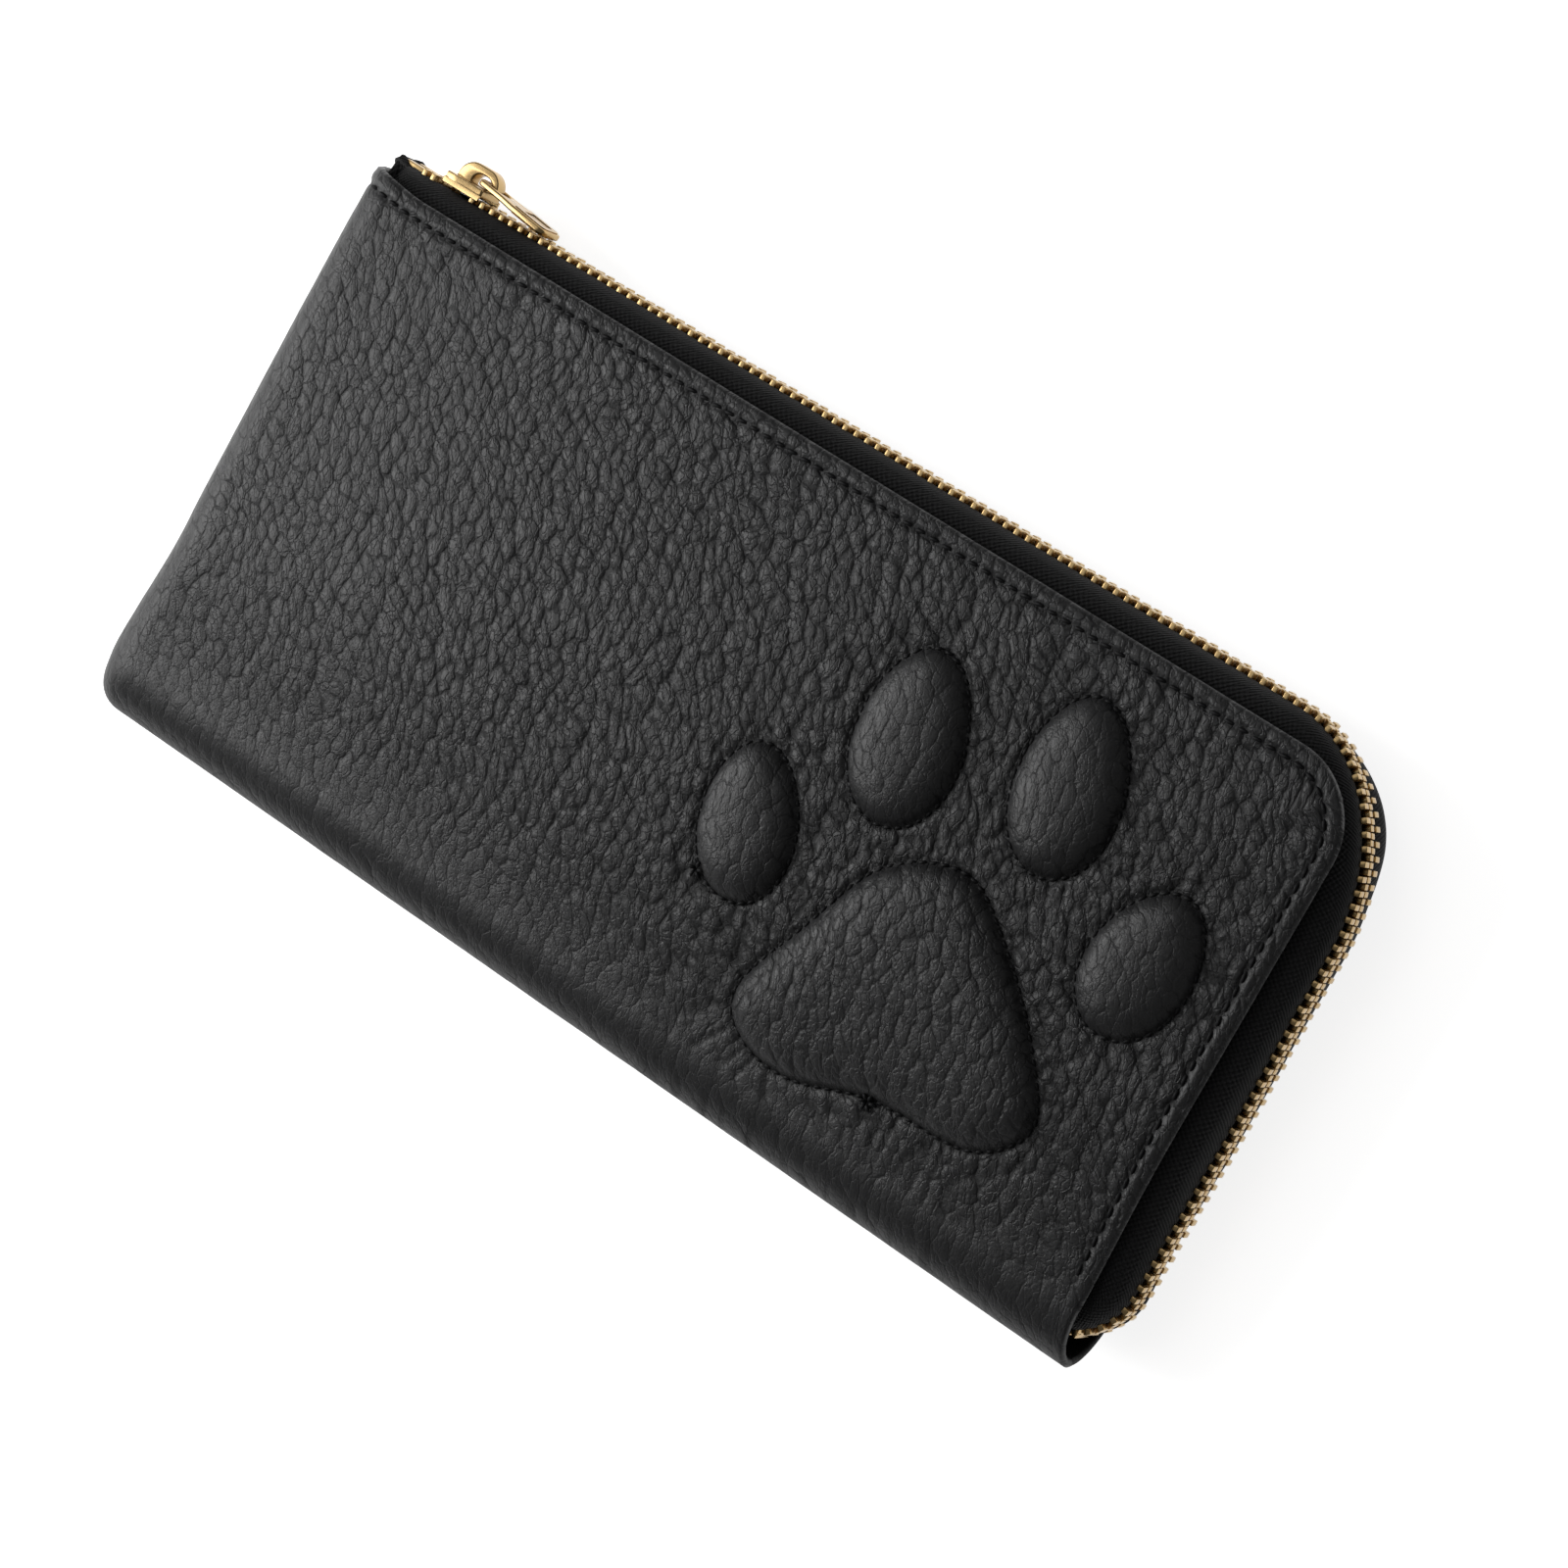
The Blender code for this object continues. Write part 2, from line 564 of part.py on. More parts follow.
def build():
    clear_scene()
    parts = new_collection(COLLECTION)
    cutters = new_collection("cutters_and_guides")
    outer_leather(parts, cutters)
    linings(parts, cutters)
    foam_pads(parts)
    card_panels(parts)
    coin_pocket(parts)
    coin_zip(parts)
    main_zip_tapes(parts, cutters)
    tooth_row("front_zip_teeth", 1, 0.5, parts, cutters)
    tooth_row("back_zip_teeth", -1, 1.0, parts, cutters)
    main_zip_stops(parts)
    slider("slider", MAIN_SLIDER, parts, cutters)
    puller("puller", MAIN_PULLER, parts)
    slider("coin_slider", COIN_SLIDER, parts, cutters)
    puller("coin_puller", COIN_PULLER, parts)


build()
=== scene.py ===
"""The looks of a zip long wallet in black grained leather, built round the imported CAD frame.

Shapes are worked out in millimetres in the frame's own axes (+X to the zipped short end, +Y to the zipped
long edge, +Z out of the front) and written to meshes in metres.
"""
import json
import math

import bmesh
import bpy
import numpy as np
from mathutils import Matrix, Vector


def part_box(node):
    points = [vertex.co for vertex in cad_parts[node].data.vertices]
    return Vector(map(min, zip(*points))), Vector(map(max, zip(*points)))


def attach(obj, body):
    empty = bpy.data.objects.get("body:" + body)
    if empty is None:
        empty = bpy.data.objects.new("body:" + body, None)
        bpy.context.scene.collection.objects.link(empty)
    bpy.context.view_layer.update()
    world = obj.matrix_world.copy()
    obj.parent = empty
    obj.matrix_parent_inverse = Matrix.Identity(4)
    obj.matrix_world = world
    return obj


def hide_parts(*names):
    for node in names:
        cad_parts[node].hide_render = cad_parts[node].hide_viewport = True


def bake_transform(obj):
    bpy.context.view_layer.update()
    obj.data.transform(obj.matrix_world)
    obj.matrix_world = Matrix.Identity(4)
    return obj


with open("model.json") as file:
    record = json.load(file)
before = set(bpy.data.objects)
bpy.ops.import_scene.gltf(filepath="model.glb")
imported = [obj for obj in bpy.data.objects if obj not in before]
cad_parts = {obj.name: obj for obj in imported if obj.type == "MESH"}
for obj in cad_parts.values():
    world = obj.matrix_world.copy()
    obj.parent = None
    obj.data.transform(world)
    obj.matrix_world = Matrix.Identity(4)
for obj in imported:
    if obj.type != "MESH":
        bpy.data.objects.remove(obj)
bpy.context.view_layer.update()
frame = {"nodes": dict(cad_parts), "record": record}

MM = 0.001
UV_MM = 100                   # one UV unit on every piece, in mm


def node_box(node):
    return [np.array(corner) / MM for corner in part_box(node)]


# Sizes read from the frame, in mm
(LEFT, BOTTOM, _), (CUT_X, CUT_Y, _) = node_box("outer_leather_body")
(_, _, _), (TAPE_X, TAPE_Y, _) = node_box("back_zip_tape")
CHAIN_X, CHAIN_Y = TAPE_X - 0.25, TAPE_Y - 0.25
MIDDLE = 10.0                 # the chain's level, half way between the panels

# The leather sheet
THICK = 1.3
CUT_RADIUS = 12.0
PANEL = 9.75                  # half thickness of the body at the cut edges
CROWN = 0.5                   # how much the front bulges in its middle
SPINE_RADIUS, FOLD_DEPTH = 6.8, 9.5      # the spine fold's half height, and how far it runs out in Y
SPINE_Y = BOTTOM + FOLD_DEPTH
LEFT_RADIUS = 7.5
TURN_RADIUS, TURNED_IN = 0.8, 2.5        # the closed end's edge is turned in: its fold, and its depth
FOLD_FLARE = 0.9              # how far the fold stands out at its zipped end
PLAN_RADIUS = 6.0             # rounding of the lower left corner, seen from above
FRONT_STEP, BACK_STEP = 0.42, 0.7
HEM, HEM_PITCH, PAD_PITCH = 2.4, 2.4, 1.75
GRAIN_PITCH, GRAIN_TURNS = 2.5, (59, 0)     # the grain's cells, and the two directions across its creases

# The zip
CHAIN_RADIUS, CORNER_TALL = 22.0, 27.0    # the corner is drawn a little longer down the short end
CHAIN_BOW = 0.25              # how far the chain swings out on its way to the corner
CHAIN_LEAN = 1.6              # how far it rises towards the front round the corner
TOOTH_PITCH = 2.0
CHAIN_START, TAPE_START = -80.6, -96.0
NUBS, NUB_SPREAD = (-89.7, -87.9), 1.0    # loose teeth between the stops and the slider
CURL_Y, CURL_RADIUS, CURL_TURN = -34.5, 10.5, 58.0      # where the chain turns into the fold

FRONT = "front"               # stands for the front panel where a body is asked for; its pieces are baked in place, not attached

FLOOR_Z = -0.2

# Paw-print pads: centre, width, length and turn in degrees of each toe, and the palm's outline
TOES = {
    "outer_left": (14.2, -6.9, 16.1, 24.0, 20),
    "inner_left": (30.1, 16.6, 17.7, 27.0, 10),
    "inner_right": (55.3, 22.9, 17.1, 27.0, 11),
    "outer_right": (77.9, 6.9, 16.3, 23.4, -8),
}
PALM = [(24.8, -28), (30, -15.5), (36.5, -1.5), (48, 4.3), (58.5, -1.2), (70, -11.8), (75.7, -21.5),
        (68.5, -29.6), (52, -31.4), (38, -36.2), (28, -34.6)]
PAD_HEIGHT, PAD_SLOPE = 2.7, 2.2      # the domes' height, and how far in they have mostly risen
PAD_REACH, PAD_INSET = 16.0, 1.7      # how far round a pad its gathers go, and how far inside the foam stays
TOE_CALM, PALM_CALM = 0.72, 0.35      # how far the grain is pulled flat over them
KNOTS = [(10.7, -16.9), (51.5, -32.1)]      # where the pads' thread is tied off

# The inside
LINING = 0.4
LINING_X, LINING_Y, LINING_RADIUS = (-92, 90), (-42, 41.5), 9
CARD_X, CARD_BOTTOM, CARD_COLUMNS = (-88, 86), -41, (-44.5, 42.5)
CARD_PANELS = ((3.4, 34.0), (4.3, 24.0), (5.2, 14.0))     # level of each panel's middle, and its top edge
CARD_HALF_THICK, THUMB_DIP = 0.3, 2.4
POCKET_X, POCKET_FOLD = (-88, 78), 1.3
POCKET_Z, POCKET_HALF, POCKET_TOP, POCKET_BOTTOM = 12.4, 2.4, 24.5, -43.0
POCKET_THICK, COIN_TAPE_THICK = 0.5, 0.4
COIL_Y, COIL_LEVEL, COIL_RADIUS, COIL_WIRE, COIL_PITCH = 26.0, 0.82, 0.55, 0.2, 0.75


# ---------------------------------------------------------------- small maths

def smooth(low, high, value):
    t = np.clip((value - low) / (high - low), 0, 1)
    return t * t * (3 - 2 * t)


def stacked(*values):
    """Points or UVs from arrays of their coordinates."""
    return np.stack(values, -1)


def beside(x, y, heading, along, out):
    """The point (x, y) moved along a heading, and out to its left."""
    hx, hy = heading
    return x + hx * along - hy * out, y + hy * along + hx * out


TABLE_SIZE = 256
RANDOM = np.random.default_rng(11).random((4, TABLE_SIZE, TABLE_SIZE))


def lattice(i, j, layer):
    return RANDOM[layer % 4, (i + 37 * layer) % TABLE_SIZE, (j + 101 * layer) % TABLE_SIZE]


def noise(x, y, layer):
    """Smooth value noise from 0 to 1, with one lattice step per unit."""
    i, j = np.floor(x).astype(int), np.floor(y).astype(int)
    fx, fy = x - i, y - j
    fx, fy = fx * fx * (3 - 2 * fx), fy * fy * (3 - 2 * fy)
    low = lattice(i, j, layer) * (1 - fx) + lattice(i + 1, j, layer) * fx
    high = lattice(i, j + 1, layer) * (1 - fx) + lattice(i + 1, j + 1, layer) * fx
    return low * (1 - fy) + high * fy


def outline_distance(x, y, outline):
    """Signed distance inside a closed outline, and the place along it, both in mm."""
    best = np.full(x.shape, 1e9)
    along = np.zeros(x.shape)
    inside = np.zeros(x.shape, bool)
    run = 0.0
    for (ax, ay), (bx, by) in zip(outline, np.roll(outline, -1, axis=0)):
        dx, dy = bx - ax, by - ay
        length = math.hypot(dx, dy)
        t = np.clip(((x - ax) * dx + (y - ay) * dy) / length ** 2, 0, 1)
        distance = np.hypot(x - ax - t * dx, y - ay - t * dy)
        closer = distance < best
        best = np.where(closer, distance, best)
        along = np.where(closer, run + t * length, along)
        crosses = (ay > y) != (by > y)
        with np.errstate(divide="ignore", invalid="ignore"):
            inside ^= crosses & (x < (bx - ax) * (y - ay) / (by - ay) + ax)
        run += length
    return np.where(inside, best, -best), along


def grid_normals(points):
    along_u, along_v = np.gradient(points, axis=1), np.gradient(points, axis=0)
    normal = np.cross(along_v, along_u)
    return normal / (np.linalg.norm(normal, axis=-1, keepdims=True) + 1e-9)


# ---------------------------------------------------------------- outlines

def toe_outline(x, y, width, length, turn, count=72):
    a = np.linspace(0, 2 * math.pi, count, endpoint=False)
    across = width / 2 * np.sin(a) * (1 - 0.10 * np.cos(a))
    along = length / 2 * np.cos(a)
    t = math.radians(turn)
    return stacked(*beside(x, y, (math.cos(t), math.sin(t)), across, along))[::-1]


def palm_outline(steps=9):
    points = np.array(PALM, float)
    a, b, c, d = (np.roll(points, 1 - k, axis=0)[:, None] for k in range(4))
    t = (np.arange(steps) / steps)[None, :, None]
    smoothed = 0.5 * (2 * b + (c - a) * t + (2 * a - 5 * b + 4 * c - d) * t ** 2
                      + (3 * b - a - 3 * c + d) * t ** 3)
    return smoothed.reshape(-1, 2)[::-1]


PADS = {name: toe_outline(*toe) for name, toe in TOES.items()}
PADS["palm"] = palm_outline()


def resample(points, pitch, closed):
    """Points a pitch apart along a line, with the headings there."""
    points = np.asarray(points, float)
    if closed:
        points = np.vstack([points, points[:1]])
    steps = np.diff(points, axis=0)
    run = np.concatenate([[0], np.cumsum(np.linalg.norm(steps, axis=1))])
    count = max(2, int(round(run[-1] / pitch)))
    places = np.linspace(0, run[-1], count, endpoint=not closed)
    out = stacked(*(np.interp(places, run, column) for column in points.T))
    headings = np.roll(out, -1, axis=0) - np.roll(out, 1, axis=0)
    if not closed:
        headings[0], headings[-1] = out[1] - out[0], out[-1] - out[-2]
    return out, headings / np.linalg.norm(headings, axis=1, keepdims=True)


def arc(cx, cy, radius, start, end, count):
    a = np.radians(np.linspace(start, end, count))
    return stacked(cx + radius * np.cos(a), cy + radius * np.sin(a))


def cut_distance(x, y):
    """Distance inside the leather's zipped edges, round the corner."""
    cx, cy = CUT_X - CUT_RADIUS, CUT_Y - CUT_RADIUS
    in_corner = (x > cx) & (y > cy)
    return np.where(in_corner, CUT_RADIUS - np.hypot(x - cx, y - cy), np.minimum(CUT_X - x, CUT_Y - y))


def hem_line(inset):
    """The zipped edge moved inwards, from the left end round to the fold."""
    corner = arc(CUT_X - CUT_RADIUS, CUT_Y - CUT_RADIUS, CUT_RADIUS - inset, 90, 0, 24)
    return np.vstack([[LEFT + 4.5, CUT_Y - inset], corner, [CUT_X - inset, SPINE_Y + 5.5]])


def round_corner(x, y, edge_x, edge_y, radius):
    """Moves a rectangle's +X +Y corner onto its radius."""
    cx, cy = edge_x - radius, edge_y - radius
    a, b = np.clip(x - cx, 0, None), np.clip(y - cy, 0, None)
    inside = (a > 0) & (b > 0)
    big, small = np.maximum(a, b), np.minimum(a, b)
    angle = math.pi / 4 * small / np.where(big > 0, big, 1)
    angle = np.where(b > a, math.pi / 2 - angle, angle)
    return np.where(inside, cx + big * np.cos(angle), x), np.where(inside, cy + big * np.sin(angle), y)


# ---------------------------------------------------------------- the wallet's shape

def left_share(x):
    """How much of the thickness is left near the closed short end."""
    t = np.clip((LEFT + LEFT_RADIUS - x) / LEFT_RADIUS, 0, 1)
    return 0.095 + 0.905 * np.sqrt(1 - t * t)


def half_thickness(y):
    """Half the wallet's thickness: full at the zip and thinner towards the spine fold."""
    return SPINE_RADIUS + (PANEL - SPINE_RADIUS) * smooth(SPINE_Y - 6, SPINE_Y + 30, y)


def crown(x, y):
    return CROWN * smooth(0, 26, cut_distance(x, y)) * smooth(SPINE_Y, SPINE_Y + 36, y)


def inside_level(x, y, depth):
    """Half the inner space at a depth below the leather's outer surface."""
    return half_thickness(y) * left_share(x) - depth


def pad_relief(x, y):
    """Height that the quilting adds, how smooth the leather is drawn there, and how much painted shade (0 to
    1) darkens the gathers' creases and the groove along each pad's stitched outline.
    """
    relief = np.zeros(x.shape)
    drawn = np.zeros(x.shape)
    crease_shade = np.zeros(x.shape)
    for number, outline in enumerate(PADS.values()):
        low, high = outline.min(0) - PAD_REACH, outline.max(0) + PAD_REACH
        near = (x > low[0]) & (x < high[0]) & (y > low[1]) & (y < high[1])
        if not near.any():
            continue
        inside, along = outline_distance(x[near], y[near], outline)
        outside = np.clip(-inside, 0, None)
        dome = PAD_HEIGHT * (1 - np.exp(-np.clip(inside, 0, None) / PAD_SLOPE))
        groove = -0.5 * np.exp(-(np.abs(inside) / 0.55) ** 1.5)
        groove = groove - 0.12 * np.exp(-outside / 2.2) * (inside < 0)
        wave = np.abs(noise(along / 1.7, outside / 7 + 3 * number, 1) - 0.5) * 2
        reach = 6 + 6 * smooth(-12, -26, y[near])      # the gathers run further below the palm
        valley = np.exp(-(wave / 0.16) ** 2) * np.exp(-outside / reach) * smooth(0.1, 1.0, outside)
        pull = 0.3 * (wave - 0.3) * np.exp(-outside / 4.5) * smooth(0.2, 1.5, outside) - 0.26 * valley
        tuck = (noise(along / 1.2, 0 * along + number, 3) - 0.5) * 0.4
        tuck = tuck * np.exp(-np.clip(inside, 0, None) / 1.3)
        relief[near] += np.where(inside > 0, dome + tuck, pull) + groove
        flatness = PALM_CALM if outline is PADS["palm"] else TOE_CALM
        drawn[near] = np.maximum(drawn[near], flatness * smooth(-0.5, 1.5, inside))
        # Painted shade: the gathers' valleys outside a pad and the groove along its stitched outline are
        # darkened in the colour.
        seam_shade = 0.7 * np.exp(-(inside / 0.42) ** 2)
        crease_shade[near] = np.maximum(crease_shade[near], np.maximum(valley * (inside < 0), seam_shade))
    return relief, drawn, crease_shade


def edge_relief(x, y):
    """The stitched hem: a groove at the thread, puckers, a swelling and a crease along the cut edge."""
    d = cut_distance(x, y)
    place = np.where(y > CUT_Y - CUT_RADIUS, x, CUT_X + (CUT_Y - y))
    groove = -0.36 * np.exp(-((d - HEM) / 0.5) ** 2)
    swell = (0.14 + 0.03 * np.sin(2 * math.pi * place / HEM_PITCH)) * np.exp(-((d - 1.3) / 0.7) ** 2)
    pucker = 0.45 * (noise(place / 1.9, d / 9, 2) - 0.5) * np.exp(-((d - 4.6) / 2.0) ** 2)
    line = -0.12 * np.exp(-((d - 0.45) / 0.2) ** 2)
    roll = -0.15 * np.exp(-(d / 0.25) ** 2)
    return (groove + swell + pucker) * smooth(SPINE_Y + 2, SPINE_Y + 8, y) + line + roll


def grain_place(x, y):
    """Where a point lies in the leather's lattice of creases, in cells along its two directions."""
    wx, wy = (value + 3.0 * (noise(x / 13, y / 13, broad) - 0.5) + 0.9 * (noise(x / 4, y / 4, fine) - 0.5)
              for value, broad, fine in ((x, 0, 3), (y, 1, 2)))
    return [(wx * math.cos(t) + wy * math.sin(t)) / GRAIN_PITCH for t in map(math.radians, GRAIN_TURNS)]


def undulation(x, y, calm):
    """The leather's slight unevenness under its grain, in mm."""
    broad, fine = noise(x / 4.5, y / 3.6, 1) - 0.5, noise(x / 1.7, y / 1.4, 2) - 0.5
    return (1 - 0.8 * calm) * (0.16 * broad + 0.05 * fine)


def settle(x, y):
    """The closed short end draws in towards the zip, and the fold rides up a little."""
    pull = 2.2 * smooth(LEFT + 45, LEFT + 2, x) * smooth(BOTTOM + 8, BOTTOM + 34, y)
    spread = 0.5 * smooth(LEFT + 30, LEFT, x) * smooth(BOTTOM + 8, BOTTOM, y)
    rise = 0.6 * smooth(BOTTOM + 25, BOTTOM, y) + 1.1 * smooth(LEFT + 14, LEFT + 2, x) * smooth(34, 46, y)
    return x + pull - spread, y + rise


def front_level(x, y):
    """Height above the middle of the front panel's outer surface, without its grain."""
    return half_thickness(y) * left_share(x) + crown(x, y) + pad_relief(x, y)[0] + edge_relief(x, y)


def back_level(x, y):
    return half_thickness(y) * left_share(x) + edge_relief(x, y)


# ---------------------------------------------------------------- mesh helpers

def new_mesh(name, verts, faces, uvs=None, floats=None, sharp=None, recalc=False):
    """A mesh from points in mm. Each array in faces holds faces with one number of corners."""
    mesh = bpy.data.meshes.new(name)
    verts = np.asarray(verts, float) * MM
    corners = np.concatenate([np.asarray(block, int).ravel() for block in faces])
    totals = np.concatenate([np.full(len(block), np.asarray(block).shape[1]) for block in faces])
    mesh.vertices.add(len(verts))
    mesh.vertices.foreach_set("co", verts.astype(np.float32).ravel())
    mesh.loops.add(len(corners))
    mesh.loops.foreach_set("vertex_index", corners.astype(np.int32))
    mesh.polygons.add(len(totals))
    starts = np.concatenate([[0], np.cumsum(totals)[:-1]])
    mesh.polygons.foreach_set("loop_start", starts.astype(np.int32))
    mesh.polygons.foreach_set("loop_total", totals.astype(np.int32))
    mesh.update(calc_edges=True)
    if uvs is not None:
        layer = mesh.uv_layers.new(name="UVMap")
        layer.data.foreach_set("uv", np.asarray(uvs, np.float32)[corners].ravel())
    for key, values in (floats or {}).items():
        attribute = mesh.attributes.new(key, "FLOAT", "POINT")
        attribute.data.foreach_set("value", np.asarray(values, np.float32))
    mesh.validate()
    if recalc:
        bm = bmesh.new()
        bm.from_mesh(mesh)
        bmesh.ops.holes_fill(bm, edges=[e for e in bm.edges if e.is_boundary], sides=0)
        bmesh.ops.recalc_face_normals(bm, faces=bm.faces)
        bm.to_mesh(mesh)
        bm.free()
    mesh.shade_smooth()
    if sharp is not None:
        mesh.set_sharp_from_angle(angle=math.radians(sharp))
    return mesh


def bmesh_mesh(name, bm, sharp=None):
    """A mesh from a bmesh, which is freed."""
    mesh = bpy.data.meshes.new(name)
    bm.to_mesh(mesh)
    bm.free()
    if sharp is not None:
        mesh.shade_smooth()
        mesh.set_sharp_from_angle(angle=math.radians(sharp))
    return mesh


def new_object(name, data):
    obj = bpy.data.objects.new(name, data)
    bpy.context.scene.collection.objects.link(obj)
    return obj


def bend_with_front(piece):
    """The piece's transform is baked into its mesh; it is not attached to a body."""
    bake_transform(piece)


def new_piece(name, mesh, mat, slot, body, *nodes):
    """A visible piece with its finish, standing for CAD nodes. It moves with a body; a front piece only has
    its transform baked in.
    """
    piece = new_object(name, mesh)
    mesh.materials.clear()
    mesh.materials.append(mat)
    if nodes:
        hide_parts(*nodes)
    if body == FRONT:
        bend_with_front(piece)
    else:
        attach(piece, body)
    return piece


def grid_faces(rows, columns, start=0, closed_columns=False):
    """Quads over a grid of vertices stored row by row."""
    wide = columns if closed_columns else columns - 1
    i, j = np.meshgrid(np.arange(rows - 1), np.arange(wide), indexing="ij")
    k = (j + 1) % columns
    quads = stacked(i * columns + j, i * columns + k, (i + 1) * columns + k, (i + 1) * columns + j)
    return quads.reshape(-1, 4) + start


def perimeter(i0, i1, j0, j1):
    """The places round the border of a block of a grid, in order."""
    return ([(i0, j) for j in range(j0, j1)] + [(i, j1) for i in range(i0, i1)]
            + [(i1, j) for j in range(j1, j0, -1)] + [(i, j0) for i in range(i1, i0, -1)])


def solid_sheet(name, outer, inner, uv, floats=None, coarse=1, bulge=0.0, sharp=50):
    """A closed solid between two grids of points, with a rim. The inner side keeps every coarse-th point."""
    rows, columns = outer.shape[:2]
    index = np.arange(rows * columns).reshape(rows, columns)
    keep = np.zeros((rows, columns), bool)
    keep[::coarse, ::coarse] = True
    keep[[0, -1], :] = True
    keep[:, [0, -1]] = True
    kept = int(keep.sum())
    low = np.full((rows, columns), -1)
    low[keep] = rows * columns + np.arange(kept)
    faces = {4: [grid_faces(rows, columns)]}
    row_marks, column_marks = ([*range(0, count - 1, coarse), count - 1] for count in (rows, columns))
    for i0, i1 in zip(row_marks, row_marks[1:]):
        for j0, j1 in zip(column_marks, column_marks[1:]):
            corners = [low[place] for place in perimeter(i0, i1, j0, j1) if low[place] >= 0][::-1]
            faces.setdefault(len(corners), []).append([corners])
    ring = perimeter(0, rows - 1, 0, columns - 1)
    rim_i, rim_j = np.array(ring).T
    rim = outer[rim_i, rim_j]
    outward = rim - outer[np.clip(rim_i, 1, rows - 2), np.clip(rim_j, 1, columns - 2)]
    outward /= np.linalg.norm(outward, axis=1, keepdims=True) + 1e-9
    middle = (rim + inner[rim_i, rim_j]) / 2 + bulge * outward
    mid = rows * columns + kept + np.arange(len(ring))
    for a, b in ((index[rim_i, rim_j], mid), (mid, low[rim_i, rim_j])):
        faces[4].append(stacked(a, b, np.roll(b, -1), np.roll(a, -1)))
    values = {key: np.concatenate([field.ravel(), field[keep], field[rim_i, rim_j]])
              for key, field in (floats or {}).items()}
    values["edge"] = np.concatenate([np.zeros(rows * columns), np.ones(kept + len(ring))])
    verts = np.vstack([outer.reshape(-1, 3), inner[keep], middle])
    uvs = np.vstack([uv.reshape(-1, 2), uv[keep], uv[rim_i, rim_j] + 0.003])
    blocks = [np.vstack(block) for block in faces.values()]
    return new_mesh(name, verts, blocks, uvs, values, sharp=sharp, recalc=True)


def thin_sheet(name, points, thick, uv, **settings):
    """A sheet of even thickness about a grid of points."""
    normal = grid_normals(points)
    return solid_sheet(name, points + thick / 2 * normal, points - thick / 2 * normal, uv, **settings)


def swept_loop(name, rings, uv, sharp=50):
    """A closed solid through rings of points, its ends filled."""
    count, sides = rings.shape[:2]
    return new_mesh(name, rings.reshape(-1, 3), [grid_faces(count, sides, closed_columns=True)],
                    uv.reshape(-1, 2), sharp=sharp, recalc=True)


def rounded_plate(outlines, low, high, edge, place):
    """The mesh of a plate with rounded edges, from closed outlines in its own XY plane."""
    curve = bpy.data.curves.new("outline", "CURVE")
    curve.dimensions = "2D"
    curve.fill_mode = "BOTH"
    curve.extrude = ((high - low) / 2 - edge) * MM
    curve.bevel_depth = edge * MM
    curve.offset = -edge * MM
    curve.bevel_resolution = 2
    for outline in outlines:
        spline = curve.splines.new("POLY")
        spline.points.add(len(outline) - 1)
        for point, (x, y) in zip(spline.points, outline):
            point.co = (x * MM, y * MM, 0, 1)
        spline.use_cyclic_u = True
    obj = new_object("outline", curve)
    shape = bpy.data.meshes.new_from_object(obj.evaluated_get(bpy.context.evaluated_depsgraph_get()))
    bpy.data.objects.remove(obj)
    bpy.data.curves.remove(curve)
    shape.transform(place @ Matrix.Translation((0, 0, (low + high) / 2 * MM)))
    return shape


def joined_mesh(name, shapes, sharp=35):
    """One mesh from several, each welded and facing outwards."""
    whole = bmesh.new()
    for shape in shapes:
        part = bmesh.new()
        part.from_mesh(shape)
        bmesh.ops.remove_doubles(part, verts=part.verts, dist=0.00001)
        bmesh.ops.recalc_face_normals(part, faces=part.faces)
        part.to_mesh(shape)
        part.free()
        whole.from_mesh(shape)
        bpy.data.meshes.remove(shape)
    return bmesh_mesh(name, whole, sharp)


# ---------------------------------------------------------------- the leather sheet

def left_profile(u):
    """x of a point on the unrolled sheet, and at the left end how far in and how far round it is turned."""
    quarter = LEFT_RADIUS * math.pi / 2
    flat_from = LEFT + LEFT_RADIUS
    phi = np.clip((flat_from - u) / LEFT_RADIUS, 0, math.pi / 2)
    x = np.where(u > flat_from, u, flat_from - LEFT_RADIUS * np.sin(phi))
    past = np.clip(flat_from - quarter - u, 0, None)
    psi = np.clip(past / TURN_RADIUS, 0, math.pi / 2)
    inwards = TURN_RADIUS * (1 - np.cos(psi)) + np.clip(past - TURN_RADIUS * math.pi / 2, 0, None)
    return x, inwards, np.sin(psi)


